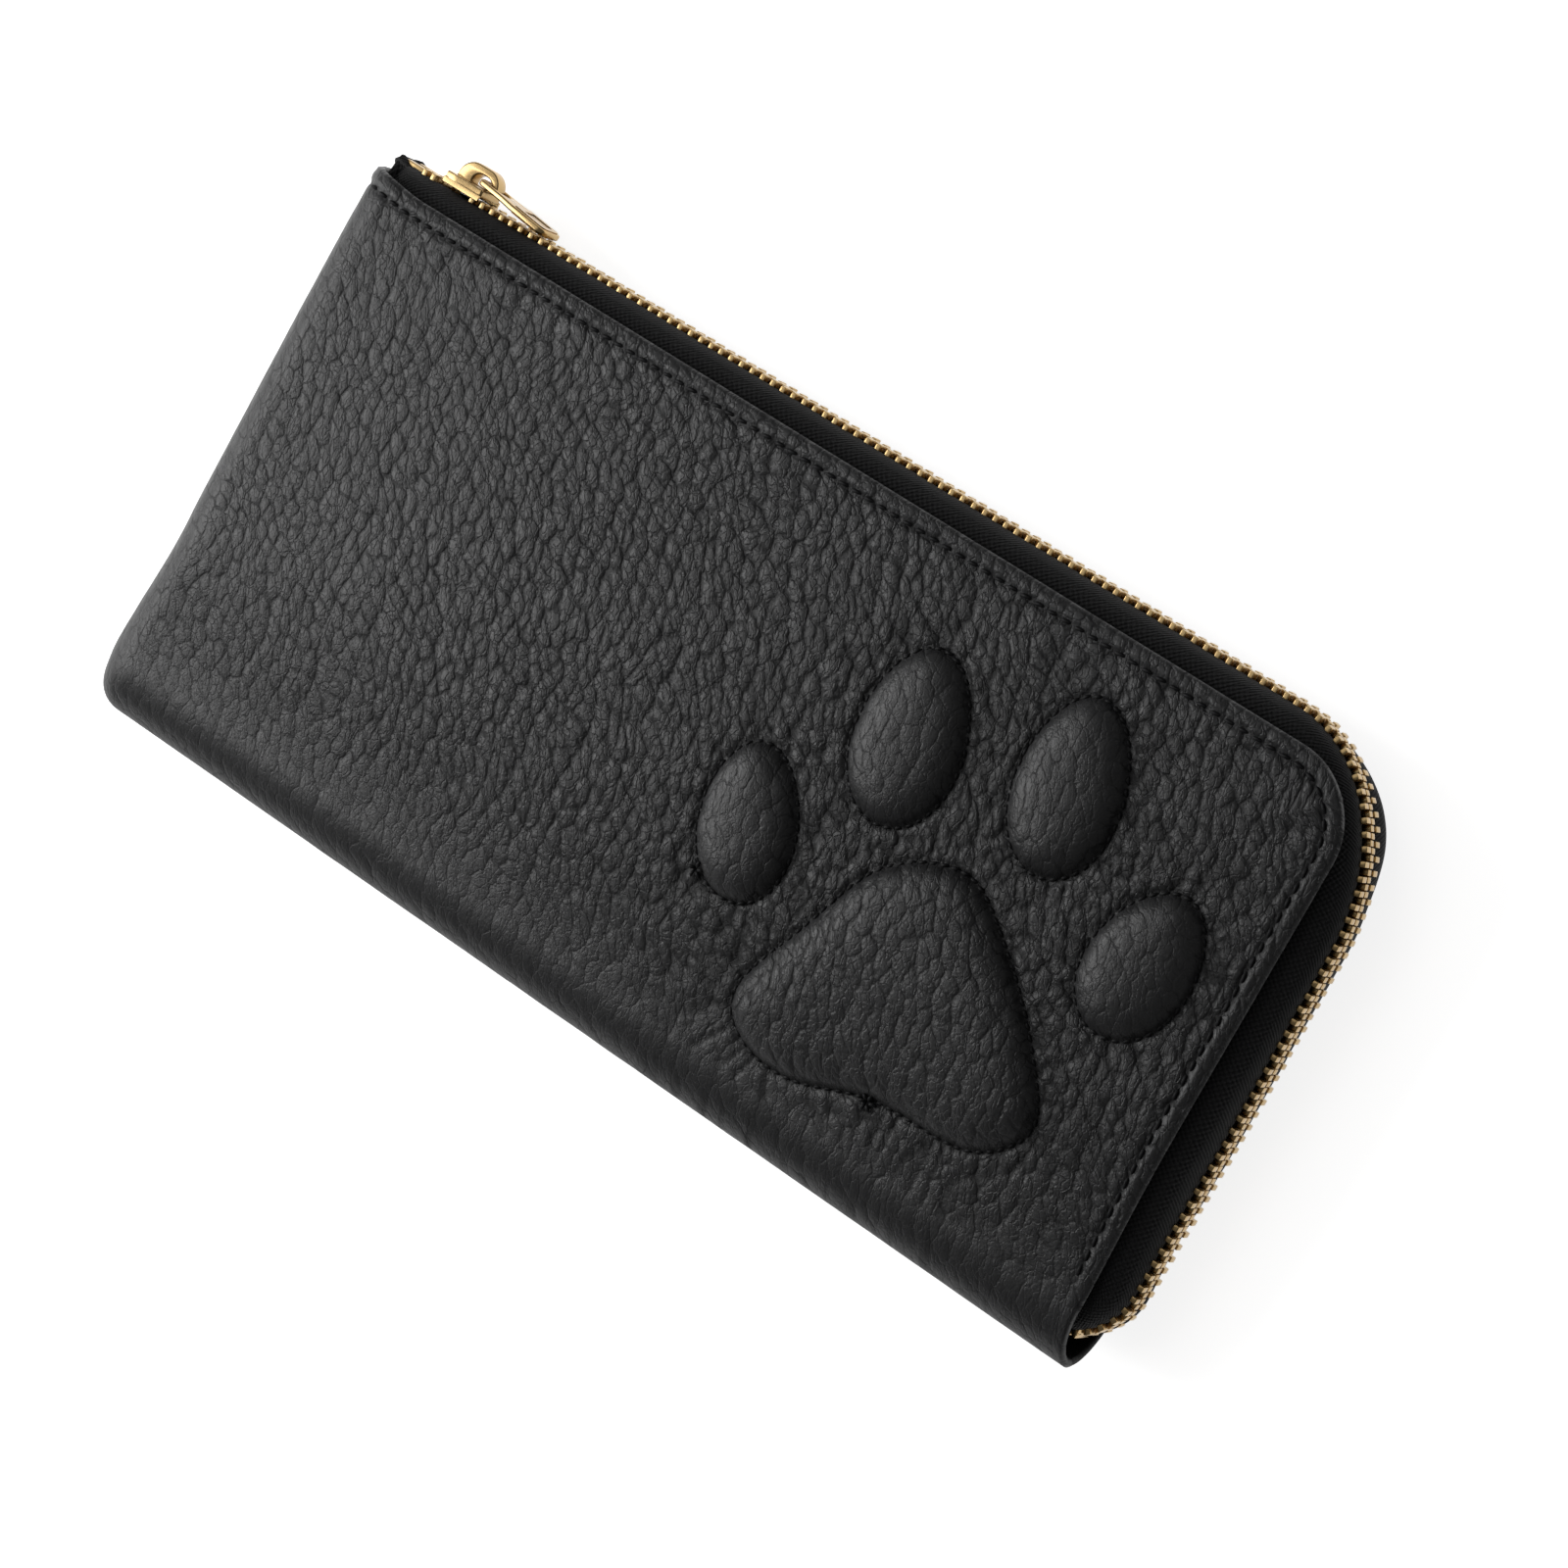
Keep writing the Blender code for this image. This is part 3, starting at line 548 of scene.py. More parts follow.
def sheet_surface(u, v, sign):
    """The sheet's outer surface. u runs along X, unrolled at the left end; v down from the zipped edge and
    on round the spine. sign is +1 for the front and -1 for the back. Gives the surface with and without
    its relief, and fields for the material."""
    x, inwards, tucked = left_profile(u)
    flat_y = CUT_Y - v
    run = np.clip(SPINE_Y - flat_y, 0, None)
    x, y = round_corner(x, np.maximum(flat_y, SPINE_Y), CUT_X, CUT_Y, CUT_RADIUS)
    corner_x = np.clip(PLAN_RADIUS - (x - LEFT), 0, PLAN_RADIUS)
    tuck = PLAN_RADIUS - np.sqrt(PLAN_RADIUS ** 2 - corner_x ** 2)
    tuck = tuck * smooth(SPINE_Y + 18, BOTTOM, y - run)
    phi = run / SPINE_RADIUS
    share = left_share(x) - 0.08 * tucked
    # The grain is pulled flat towards the closed end and the fold, over the pads and along the hem
    calm = np.maximum(0.5 * smooth(LEFT + 80, LEFT + 14, x), 0.8 * smooth(LEFT + 22, LEFT + 3, x))
    calm = np.maximum(calm, 0.9 * smooth(SPINE_Y + 22, SPINE_Y - 2, y - run + 0.03 * (x - LEFT)))
    pads, crease_shade = 0.0, np.zeros(x.shape)
    if sign > 0:
        pads, drawn, crease_shade = pad_relief(x, y)
        calm = np.maximum(calm, drawn)
    hem = cut_distance(x, y)
    calm = np.maximum(calm, 0.35 * smooth(HEM + 0.3, HEM - 0.3, hem))
    # Painted shade along the hem's stitch groove, joined to the pads' painted crease shade and handed to the
    # material as the crease attribute.
    seam_shade = 0.6 * np.exp(-((hem - HEM) / 0.42) ** 2) * smooth(SPINE_Y + 2, SPINE_Y + 8, y)
    crease_shade = np.maximum(crease_shade, seam_shade)
    grain_y = flat_y if sign > 0 else 2 * SPINE_Y + 40 - flat_y
    height = undulation(u, grain_y, calm)
    grain_a, grain_b = grain_place(u, grain_y)
    surfaces = []
    for lift in ((pads + edge_relief(x, y)) * (run == 0) + height, 0.0):
        up = half_thickness(y) + (crown(x, y) if sign > 0 else 0.0) + lift
        out_y = y - (FOLD_DEPTH + lift) * np.sin(phi) + tuck
        out_x = x + inwards - lift * np.sqrt(np.clip(1 - share, 0, 1)) * (u < LEFT + LEFT_RADIUS)
        out_x = out_x + FOLD_FLARE * smooth(0, 1.6, phi) * smooth(CUT_X - 30, CUT_X, x)
        surfaces.append(stacked(*settle(out_x, out_y), MIDDLE + sign * up * np.cos(phi) * share))
    uv = stacked(u / UV_MM + 3 * (sign < 0), flat_y / UV_MM)
    return *surfaces, uv, {"crease": crease_shade, "calm": calm, "under": np.clip(phi / 1.2, 0, 1),
                          "grain_a": grain_a, "grain_b": grain_b}


def sheet_mesh(name, sign, v_end, step):
    u_start = LEFT + LEFT_RADIUS - LEFT_RADIUS * math.pi / 2 - TURN_RADIUS * math.pi / 2 - TURNED_IN
    columns, rows = int((CUT_X - u_start) / step) + 1, int(v_end / step) + 1
    u, v = np.meshgrid(np.linspace(u_start, CUT_X, columns), np.linspace(0, v_end, rows))
    outer, base, uv, fields = sheet_surface(u, v, sign)
    inner = base - sign * THICK * grid_normals(base)
    return solid_sheet(name, outer, inner, uv, fields, coarse=5, bulge=0.4, sharp=65)


def outer_leather(mat):
    height = CUT_Y - SPINE_Y
    fold = SPINE_RADIUS * math.pi
    new_piece("outer_leather_front", sheet_mesh("outer_leather_front", 1, height + fold, FRONT_STEP), mat,
              "grained_leather", FRONT, "outer_leather_body", "outer_leather_flap")
    new_piece("outer_leather_back", sheet_mesh("outer_leather_back", -1, height, BACK_STEP), mat,
              "grained_leather", "back")


# ---------------------------------------------------------------- thread

def stitches(name, runs, mat, radius, body):
    """Thread along several lines. Each run is (points, pitch, closed, sign), the points in 3-D, and the
    sign telling whether the thread lies on a surface that faces up or down."""
    verts, faces = [], []
    sides, rings = 6, 5
    swing = 0.10
    count = 0
    for points, pitch, closed, sign in runs:
        half = 0.44 * pitch
        places, headings = resample(points, pitch, closed)
        for (x, y, z), (hx, hy, _) in zip(places, headings):
            for ring in range(rings):
                t = 2 * ring / (rings - 1) - 1
                r = radius * math.sqrt(max(0.04, 1 - 0.9 * t ** 4))
                cx, cy = x + hx * half * t - hy * swing * t, y + hy * half * t + hx * swing * t
                cz = z + sign * radius * 0.9 * (1 - 1.5 * t * t)
                for a in (2 * math.pi * side / sides for side in range(sides)):
                    across = r * math.cos(a)
                    verts.append((cx - hy * across, cy + hx * across, cz + r * math.sin(a)))
            faces.append(grid_faces(rings, sides, start=count, closed_columns=True))
            count += rings * sides
    mesh = new_mesh(name, np.array(verts), [np.vstack(faces)], recalc=True)
    new_piece(name, mesh, mat, "lining_cloth", body)


def on_panel(outline, sign, sink):
    """A line laid on the front (sign 1) or the back (-1), sunk a little into it."""
    x, y = outline.T
    level = front_level(x, y) if sign > 0 else back_level(x, y)
    return stacked(*settle(x, y), MIDDLE + sign * (level - sink))


def leather_stitching(mat):
    """The thread round the pads, with its knots, and along both hems."""
    closed = [resample(outline, 0.8, True)[0] for outline in PADS.values()]
    runs = [(on_panel(line, 1, -0.05), PAD_PITCH, True, 1) for line in closed]
    for knot in KNOTS:
        for turn in map(math.radians, (10, 75, 130)):
            thread = np.array(knot) + np.outer((-0.9, 0.9), (math.cos(turn), math.sin(turn)))
            runs.append((on_panel(thread, 1, -0.3), 1.6, False, 1))
    stitches("pad_stitching", runs, mat, 0.3, FRONT)
    hem, _ = resample(hem_line(HEM), 1.0, False)
    for name, sign, sink, radius, body in (("front_hem_stitching", 1, 0.02, 0.3, FRONT),
                                           ("back_hem_stitching", -1, 0.1, 0.27, "back")):
        stitches(name, [(on_panel(hem, sign, sink), HEM_PITCH, False, sign)], mat, radius, body)


# ---------------------------------------------------------------- linings, padding and pockets

def flat_grid(x0, x1, y0, y1, step):
    columns, rows = int((x1 - x0) / step) + 2, int((y1 - y0) / step) + 2
    return np.meshgrid(np.linspace(x0, x1, columns), np.linspace(y1, y0, rows))


def linings(mat):
    x, y = flat_grid(*LINING_X, *LINING_Y, 1.5)
    x, y = round_corner(x, y, LINING_X[1], LINING_Y[1], LINING_RADIUS)
    level = inside_level(x, y, THICK + 0.75) + 0.12 * (noise(x / 9, y / 9, 1) - 0.5)
    uv = stacked(x / UV_MM, y / UV_MM)
    for name, sign, body, *nodes in (("front_lining", 1, FRONT, "front_lining_body", "front_lining_flap"),
                                     ("back_lining_cloth", -1, "back", "back_lining")):
        outer = stacked(x, y, MIDDLE + sign * level)
        inner = stacked(x, y, MIDDLE + sign * (level - LINING))
        new_piece(name, solid_sheet(name, outer, inner, uv), mat, "lining_cloth", body, *nodes)


def foam_pillow(name, outline):
    """A soft cushion that fills a quilted dome from below."""
    centre = outline.mean(0)
    reach = np.linalg.norm(outline - centre, axis=1).mean()
    sizes = [*np.linspace(0.06, 0.9, 8), 0.95, 0.985, 1.0]
    rings = []
    for t, upper in [(t, True) for t in sizes] + [(t, False) for t in sizes[-2::-1]]:
        x, y = (centre + (outline - centre) * t * (1 - PAD_INSET / reach)).T
        inside, _ = outline_distance(x, y, outline)
        roundness = math.sqrt(max(0.0, 1 - t ** 6))
        base = MIDDLE + half_thickness(y) + crown(x, y) - THICK - 0.2
        dome = 0.96 * PAD_HEIGHT * (1 - np.exp(-inside / PAD_SLOPE))
        rings.append(stacked(x, y, base + (dome if upper else -0.45) * roundness))
    rings = np.stack(rings)
    return swept_loop(name, rings, rings[..., :2] / UV_MM, sharp=80)


def padding(mat):
    for pad, outline in PADS.items():
        suffix = "palm" if pad == "palm" else "toe_" + pad
        name = suffix + "_cushion"
        piece = new_piece(name, foam_pillow(name, outline), mat, "foam", FRONT, "foam_" + suffix)


def card_panels(mat, thread):
    """Stepped panels with a shallow thumb dip over each column of cards, stitched under their edges."""
    runs = []
    for number, (level, edge_y) in enumerate(CARD_PANELS, 1):
        x, t = np.meshgrid(np.linspace(*CARD_X, 117), np.linspace(0, 1, 48))
        dip = sum(smooth(15, 6, np.abs(x - centre)) for centre in CARD_COLUMNS)
        top = edge_y - THUMB_DIP * dip
        y = top + (CARD_BOTTOM - top) * t
        z = level + (PANEL - half_thickness(y)) + 0.1 * (noise(x / 14, y / 14, number) - 0.5)
        z = z + 0.3 * smooth(0.55, 0.0, t * (top - CARD_BOTTOM) / 40)
        outer, inner = stacked(x, y, z + CARD_HALF_THICK), stacked(x, y, z - CARD_HALF_THICK)
        name = f"card_pocket_{number}"
        mesh = solid_sheet(name, outer, inner, stacked(x / UV_MM, y / UV_MM + number), bulge=0.1)
        new_piece(name, mesh, mat, "card_leather", "back", f"card_panel_{number}")
        runs.append((stacked(x[0], top[0] - 2.2, z[2] + 0.3), 2.2, False, 1))
    stitches("card_pocket_stitching", runs, thread, 0.16, "back")


def coin_pocket(mat):
    """The pocket's sheet: down one wall, round the bottom fold and up the other."""
    fold = arc(POCKET_BOTTOM + POCKET_FOLD, 0, POCKET_FOLD, 270, 90, 9)
    walls = np.linspace(POCKET_TOP, POCKET_BOTTOM + 2 * POCKET_FOLD, 30)
    back = stacked(walls, -(POCKET_FOLD + (POCKET_HALF - POCKET_FOLD) * smooth(-40, -8, walls)))
    profile = np.vstack([back, fold, back[::-1] * (1, -1)])
    s, x = np.meshgrid(np.arange(len(profile)), np.linspace(*POCKET_X, 84), indexing="ij")
    y, offset = profile[s, 0], profile[s, 1]
    low_x, high_x = POCKET_X
    closed = 1 - 0.55 * smooth(low_x + 10, low_x, x) - 0.55 * smooth(high_x - 10, high_x, x)
    run = np.concatenate([[0], np.cumsum(np.linalg.norm(np.diff(profile, axis=0), axis=1))])
    uv = stacked(x / UV_MM, run[s] / UV_MM + 2)
    mesh = thin_sheet("coin_pocket_cloth", stacked(x, y, POCKET_Z + offset * closed), POCKET_THICK, uv)
    new_piece("coin_pocket_cloth", mesh, mat, "lining_cloth", "back", "coin_pocket")


def coil_mesh(name, low_x, high_x, z, phase):
    """A coil of round wire along X."""
    per_turn, sides = 12, 5
    t = np.arange(int((high_x - low_x) / COIL_PITCH * per_turn)) / per_turn
    a = 2 * math.pi * t + phase
    centre = stacked(low_x + COIL_PITCH * t, COIL_Y + COIL_RADIUS * np.cos(a),
                     z + COIL_RADIUS * 0.8 * np.sin(a))
    radial = stacked(0 * a, np.cos(a), np.sin(a))
    along = np.array([1.0, 0, 0])
    b = np.linspace(0, 2 * math.pi, sides, endpoint=False)
    rings = centre[:, None] + COIL_WIRE * (radial[:, None] * np.cos(b)[None, :, None]
                                           + along * np.sin(b)[None, :, None])
    return swept_loop(name, rings, rings[..., :2] / UV_MM, sharp=80)


def coin_tape(name, sign, low, high):
    """One half of the coil zip's tape. It bows in slightly towards the coil."""
    x, y = flat_grid(low[0], high[0], low[1], high[1], 1.2)
    z = POCKET_Z + sign * (1.5 - 0.2 * smooth(20.5, 24.9, y)) + 0.06 * (noise(x / 5, y / 5, 2) - 0.5)
    outer, inner = (stacked(x, y, z + side * COIN_TAPE_THICK / 2) for side in (sign, -sign))
    return solid_sheet(name, outer, inner, stacked(x / UV_MM, y / UV_MM))


def coin_zip(tape_mat, coil_mat, gold):
    for half, sign, phase in (("front", 1, 0), ("back", -1, math.pi)):
        node, name = f"coin_zip_tape_{half}", f"coin_tape_{half}"
        new_piece(name, coin_tape(name, sign, *node_box(node)), tape_mat, "woven_tape", "back", node)
        node, name = f"coin_zip_coil_{half}", f"coin_coil_{half}"
        low, high = node_box(node)
        mesh = coil_mesh(name, low[0], high[0], POCKET_Z + sign * COIL_LEVEL, phase)
        new_piece(name, mesh, coil_mat, "black_coil", "back", node)
    for stop in ("coin_top_stop", "coin_bottom_stop"):
        metal_clip(stop, gold, 0.3)


# ---------------------------------------------------------------- main zip

def chain_path(start_x):
    """The chain's centre line from above: along the top, round the corner, down, and into the fold."""
    turn = np.radians(np.linspace(90, 0, 36))
    top_x, top_y = CHAIN_X - CHAIN_RADIUS, CHAIN_Y + CHAIN_BOW
    corner = stacked(top_x + CHAIN_RADIUS * np.cos(turn), top_y + CORNER_TALL * (np.sin(turn) - 1))
    curl = arc(CHAIN_X - CURL_RADIUS, CURL_Y, CURL_RADIUS, 0, -CURL_TURN, 14)
    return np.vstack([[start_x, CHAIN_Y], corner, curl])


def chain_lift(x, y):
    """How far the chain rises towards the front, round the zipped corner."""
    return CHAIN_LEAN * (smooth(70, 92, x) * smooth(-10, 22, y))


# The tape's outer side, from its edge at the chain to the edge under the leather: outwards and up, in mm
TAPE_SIDE = [(-0.15, 2.3), (-0.2, 3.2), (-0.35, 4.2), (-0.65, 5.3), (-1.2, 6.4), (-2.0, 7.3), (-3.1, 7.95),
             (-4.5, 8.3), (-6.5, 8.4), (-9.0, 8.4)]
TAPE_INNER, TAPE_RISE, TAPE_TOP = 2.3, 6.1, 8.4      # the level it starts from, its rise, and its top
TAPE_THICK, TAPE_STEP = 0.45, 0.8
END_SWEEP = 0.055             # the closed end draws back by this times its squared height off the middle


def tape(name, sign, mat, body, node):
    """One half of the zip tape: a thin strip from under the leather over to the chain."""
    places, headings = resample(chain_path(TAPE_START), TAPE_STEP, False)
    run = (np.arange(len(places)) * TAPE_STEP)[:, None]
    side, _ = resample(TAPE_SIDE, 0.45, False)
    out, up = side[None, :, 0], side[None, :, 1]
    x, y = places[:, :1], places[:, 1:]
    deep = np.clip(-out / 9, 0, 1)
    end_curl = smooth(CURL_Y + 8, CURL_Y - 6, y) * (x > 50)
    flare = smooth(82, 94, x) * smooth(28, 40, y)
    bow = np.sin(math.pi * np.clip((up - TAPE_INNER) / TAPE_RISE, 0, 1))
    corner_flare, curl_flare = (1.2, 0.7) if sign < 0 else (0.2, 0.0)
    reach = out + 4.0 * deep * end_curl + bow * (0.15 + corner_flare * flare + curl_flare * end_curl)
    outward_x, outward_y = -headings[:, 1:], headings[:, :1]
    px, py = x + outward_x * reach, y + outward_y * reach
    room = inside_level(np.minimum(px, CUT_X), np.maximum(np.minimum(py, CUT_Y), SPINE_Y), THICK + 0.12)
    level = up * np.minimum(1.0, room / TAPE_TOP)
    ripple = 0.1 * (noise(run / 3.1, up / 3, 1) - 0.5)
    px, py = px + outward_x * ripple, py + outward_y * ripple
    start = smooth(4.5, 0.0, run)
    level = level * (1 - 0.25 * start ** 2)
    px = px + END_SWEEP * level ** 2 * smooth(9, 0, run)
    py = py - 0.9 * start ** 2
    lift = chain_lift(x, y) * smooth(8, 2.5, up)
    points = stacked(px, py, MIDDLE + lift + sign * level)
    uv = stacked(*np.broadcast_arrays(run / UV_MM, np.arange(len(side))[None] * 0.45 / UV_MM))
    mesh = thin_sheet(name, points, -sign * TAPE_THICK, uv)
    new_piece(name, mesh, mat, "woven_tape", body, node)


def tape_end(mat):
    """The cloth folded over at the tape's closed end: a soft, creased roll across both halves."""
    side, _ = resample(TAPE_SIDE[:8], 0.5, False)
    outline = np.vstack([side[::-1], side * (1, -1)])
    outline[:, 0] += 0.3
    rings = []
    steps = np.linspace(0, 1, 17)
    for t in steps:
        a = math.pi * t
        size = 1 - 0.26 * abs(math.cos(a)) ** 3
        x = TAPE_START + 1.4 - 1.9 * math.sin(a) + 1.4 * t
        crease = 0.22 * np.sin(outline[:, 1] * 1.9 + 3 * t) * math.sin(a)
        y = CHAIN_Y + outline[:, 0] + 0.5 - (1 - size) * 3 + crease
        room = inside_level(np.full_like(y, x), np.minimum(y, CUT_Y), THICK + 0.3)
        level = outline[:, 1] * np.minimum(1, room / TAPE_TOP) * size
        rings.append(stacked(x + crease + END_SWEEP * level ** 2, y, MIDDLE + level))
    uv = stacked(*np.broadcast_arrays(0.06 * steps[:, None], outline[None, :, 1] / UV_MM))
    mesh = thin_sheet("tape_end_fold", np.stack(rings), 0.5, uv, sharp=80)
    new_piece("tape_end_fold", mesh, mat, "woven_tape", "back")


def bevelled_box(bm, low, high, bevel):
    low, high = np.array(low), np.array(high)
    part = bmesh.new()
    bmesh.ops.create_cube(part, size=1)
    bmesh.ops.scale(part, vec=Vector(high - low), verts=part.verts)
    bmesh.ops.translate(part, vec=Vector((low + high) / 2), verts=part.verts)
    bmesh.ops.bevel(part, geom=part.edges, offset=bevel, segments=2, profile=0.6, affect="EDGES")
    temp = bmesh_mesh("block", part)
    bm.from_mesh(temp)
    bpy.data.meshes.remove(temp)


def tooth_mesh():
    """One metal tooth, in mm: X along the chain, Y outwards, Z from its head (low) to its legs (high)."""
    bm = bmesh.new()
    bevelled_box(bm, (-0.44, -1.05, 1.15), (0.44, 1.05, 2.93), 0.2)
    bevelled_box(bm, (-0.33, -0.75, 0.3), (0.33, 0.75, 1.4), 0.12)
    bevelled_box(bm, (-0.45, -0.95, -0.95), (0.45, 0.95, 0.5), 0.2)
    bmesh.ops.triangulate(bm, faces=bm.faces)
    verts = np.array([v.co for v in bm.verts])
    faces = np.array([[v.index for v in f.verts] for f in bm.faces])
    bm.free()
    return verts, faces


def tooth_row(name, sign, phase, mat, body, node):
    """The loose teeth, then every second place along the chain. The two halves take turns."""
    places, headings = resample(chain_path(CHAIN_START), TOOTH_PITCH / 2, False)
    places = np.vstack([[(x, CHAIN_Y) for x in NUBS], places[phase::2]])
    headings = np.vstack([[(1.0, 0.0) for _ in NUBS], headings[phase::2]])
    spread = np.where(np.arange(len(places)) < len(NUBS), NUB_SPREAD, 0.0)
    levels = MIDDLE + chain_lift(*places.T) + sign * spread
    shape, faces = tooth_mesh()
    if sign < 0:
        faces = faces[:, ::-1]
    verts, blocks = [], []
    for k, ((x, y), heading, z) in enumerate(zip(places, headings, levels)):
        wobble, tilt = 0.05 * math.sin(2.4 * k), 0.03 * math.sin(5.1 * k)
        up = sign * shape[:, 2]
        along, out = shape[:, 0] + tilt * up, shape[:, 1] + wobble
        verts.append(stacked(*beside(x, y, heading, along, out), z + up))
        blocks.append(faces + k * len(shape))
    mesh = new_mesh(name, np.vstack(verts), [np.vstack(blocks)], sharp=40)
    new_piece(name, mesh, mat, "gold_metal", body, node)


def metal_clip(node, mat, edge, shift=(0, 0, 0), ribs=(-1, 1)):
    """A small metal stop with rounded edges and ribs in the place of its CAD node."""
    low, high = node_box(node)
    wide, middle = high[0] - low[0], (low[0] + high[0]) / 2 + shift[0]
    low, high = low + shift, high + shift
    bm = bmesh.new()
    bevelled_box(bm, low, high, edge)
    for side in ribs:
        rib_low, rib_high = low - (0, 0.12, 0.12), high + (0, 0.12, 0.12)
        centre = middle + side * 0.28 * wide
        rib_low[0], rib_high[0] = centre - 0.16 * wide, centre + 0.16 * wide
        bevelled_box(bm, rib_low, rib_high, 0.12)
    bmesh.ops.scale(bm, vec=(MM, MM, MM), verts=bm.verts)
    new_piece(node + "_clip", bmesh_mesh(node + "_clip", bm, sharp=40), mat, "gold_metal", "back", node)


def main_zip(tape_mat, gold):
    halves = (("front", 1, FRONT), ("back", -1, "back"))
    for half, sign, body in halves:
        tape(half + "_tape", sign, tape_mat, body, half + "_zip_tape")
    for phase, (half, sign, body) in enumerate(halves):
        tooth_row(half + "_teeth", sign, phase, gold, body, half + "_zip_teeth")
    tape_end(tape_mat)
    for half, _, _ in halves:
        metal_clip(half + "_top_stop", gold, 0.3, ribs=())
    low, high = node_box("bottom_stop")
    shift = np.array([*chain_path(0)[-1], MIDDLE]) - (low + high) / 2
    metal_clip("bottom_stop", gold, 0.4, shift)


# ---------------------------------------------------------------- sliders and pullers

# Sizes in mm. A slider's channel is half the height and half the width of the way through for the teeth.
MAIN_SLIDER = {
    "half_width": 3.4, "inner_half_width": 3.4, "channel": (1.2, 2.95), "slot": 0.55, "plate": 1.3,
    "overhang": 1.2, "bail": 3.2, "strap": 1.3, "bail_half_width": 1.3, "post": 0.45, "raised": 0.15,
}
COIN_SLIDER = {
    "half_width": 2.6, "inner_half_width": 1.0, "channel": (1.1, 2.1), "slot": 0.5, "plate": 1.0,
    "overhang": 0.8, "bail": 2.3, "strap": 0.7, "bail_half_width": 1.0, "post": 0.13, "raised": 0.0,
}
MAIN_PULLER = {"pivot": (-81.1, 52.3, 10), "turn": -7.2, "length": 14.5, "half_width": 3.2, "thick": 1.0,
               "eye": (4.6, 1.6)}
COIN_PULLER = {"pivot": (-71.9, 29, 12.4), "turn": 0, "length": 12, "half_width": 2.4, "thick": 0.8,
               "eye": (3.8, 1.35)}
TAB_ROUND, TAB_RIM = 1.6, 0.6      # the tab's corner radius, and how far in its raised rim starts
ACROSS = Matrix.Rotation(math.pi / 2, 4, "X")     # turns a plate so that its outline's Y runs along Z


def shield(half, width):
    """A slider plate from above: two lobes at its open end and a narrower closed end."""
    upper = [(half, 0.82 * width), (0.92 * half, 0.92 * width), (0.2 * half, 0.94 * width),
             (-0.3 * half, 0.99 * width), (-0.7 * half, width), (-0.92 * half, 0.92 * width),
             (-half, 0.66 * width), (-0.97 * half, 0.4 * width), (-0.8 * half, 0.12 * width)]
    return [(x, -z) for x, z in upper[::-1]] + upper


def channel_walls(outline, channel_z, low, high, place):
    """The two rims that close the channel between a plate's sides."""
    for side in (1, -1):
        outer = [(px, side * max(pz, channel_z + 0.42)) for px, pz in outline[len(outline) // 2:]
                 if pz > 0.8 * channel_z]
        inner = [(px, side * channel_z) for px, pz in outer]
        yield rounded_plate([outer + inner[::-1]], low, high, 0.12, place)


def bail_outlines(half, top, sizes):
    """The arch over the outer plate, and the hole through it."""
    left, right = -0.78 * half, half + sizes["overhang"]
    radius = 0.85 * sizes["bail"]
    rise = top + sizes["bail"] - radius
    foot = [(left, top - 0.4), (left + 0.25 * half, top - 0.4), (half - 0.3, top - 0.4), (half - 0.1, top),
            (right, top)]
    arch = np.vstack([foot, arc(right - radius, rise, radius, 0, 90, 9),
                      arc(left + radius, rise, radius, 90, 180, 9)])
    inner = radius - sizes["strap"]
    back = left + radius + 1.5
    hole = np.vstack([arc(right - radius, rise, inner, 0, 90, 8), arc(back, rise, inner, 90, 180, 8),
                      [(back - inner, top + 0.15), (right - sizes["strap"], top + 0.15)]])
    return [arch.tolist(), hole.tolist()]


def slider_mesh(name, centre, half, sizes):
    """Two plates joined by a post, the channel's rims on wide plates, and the bail on the outer one."""
    upright = Matrix.Translation(Vector(centre) * MM)
    flat = upright @ ACROSS
    channel_y, channel_z = sizes["channel"]
    reach = channel_y + sizes["plate"]
    shapes = []
    for side, width in ((1, sizes["half_width"]), (-1, sizes["inner_half_width"])):
        outline = shield(half, width)
        shapes.append(rounded_plate([outline], *sorted((-side * channel_y, -side * reach)), 0.2, flat))
        if width >= channel_z:
            low, high = sorted((-side * sizes["slot"], -side * (channel_y + 0.4)))
            shapes += channel_walls(outline, channel_z, low, high, flat)
    thick = sizes["post"]
    post = [(-0.88 * half, 0), (-0.62 * half, thick), (-0.4 * half, 0), (-0.62 * half, -thick)]
    shapes.append(rounded_plate([post], -reach + 0.4, reach - 0.4, 0.02, flat))
    bail_half = sizes["bail_half_width"]
    shapes.append(rounded_plate(bail_outlines(half, reach, sizes), -bail_half, bail_half, 0.3, upright))
    return joined_mesh(name, shapes)


def tab_rim(reach, length, width):
    """The raised rim round the tab's sunk panel: its outer and inner outline."""
    start = reach + 3.4
    corner = arc(length - TAB_ROUND, width - TAB_ROUND, TAB_ROUND - TAB_RIM, 90, 0, 6)
    half = np.vstack([[(start - 0.4, 0), (start - 0.4, width - 0.7)], corner, [(length - TAB_RIM, 0)]])
    ring = np.vstack([half, (half[1:-1] * (1, -1))[::-1]])
    middle = np.array([(start + length) / 2, 0])
    hollow = middle + (ring - middle) * (1 - 1 / np.array([(length - start) / 2, width]))
    return [ring.tolist(), hollow.tolist()]


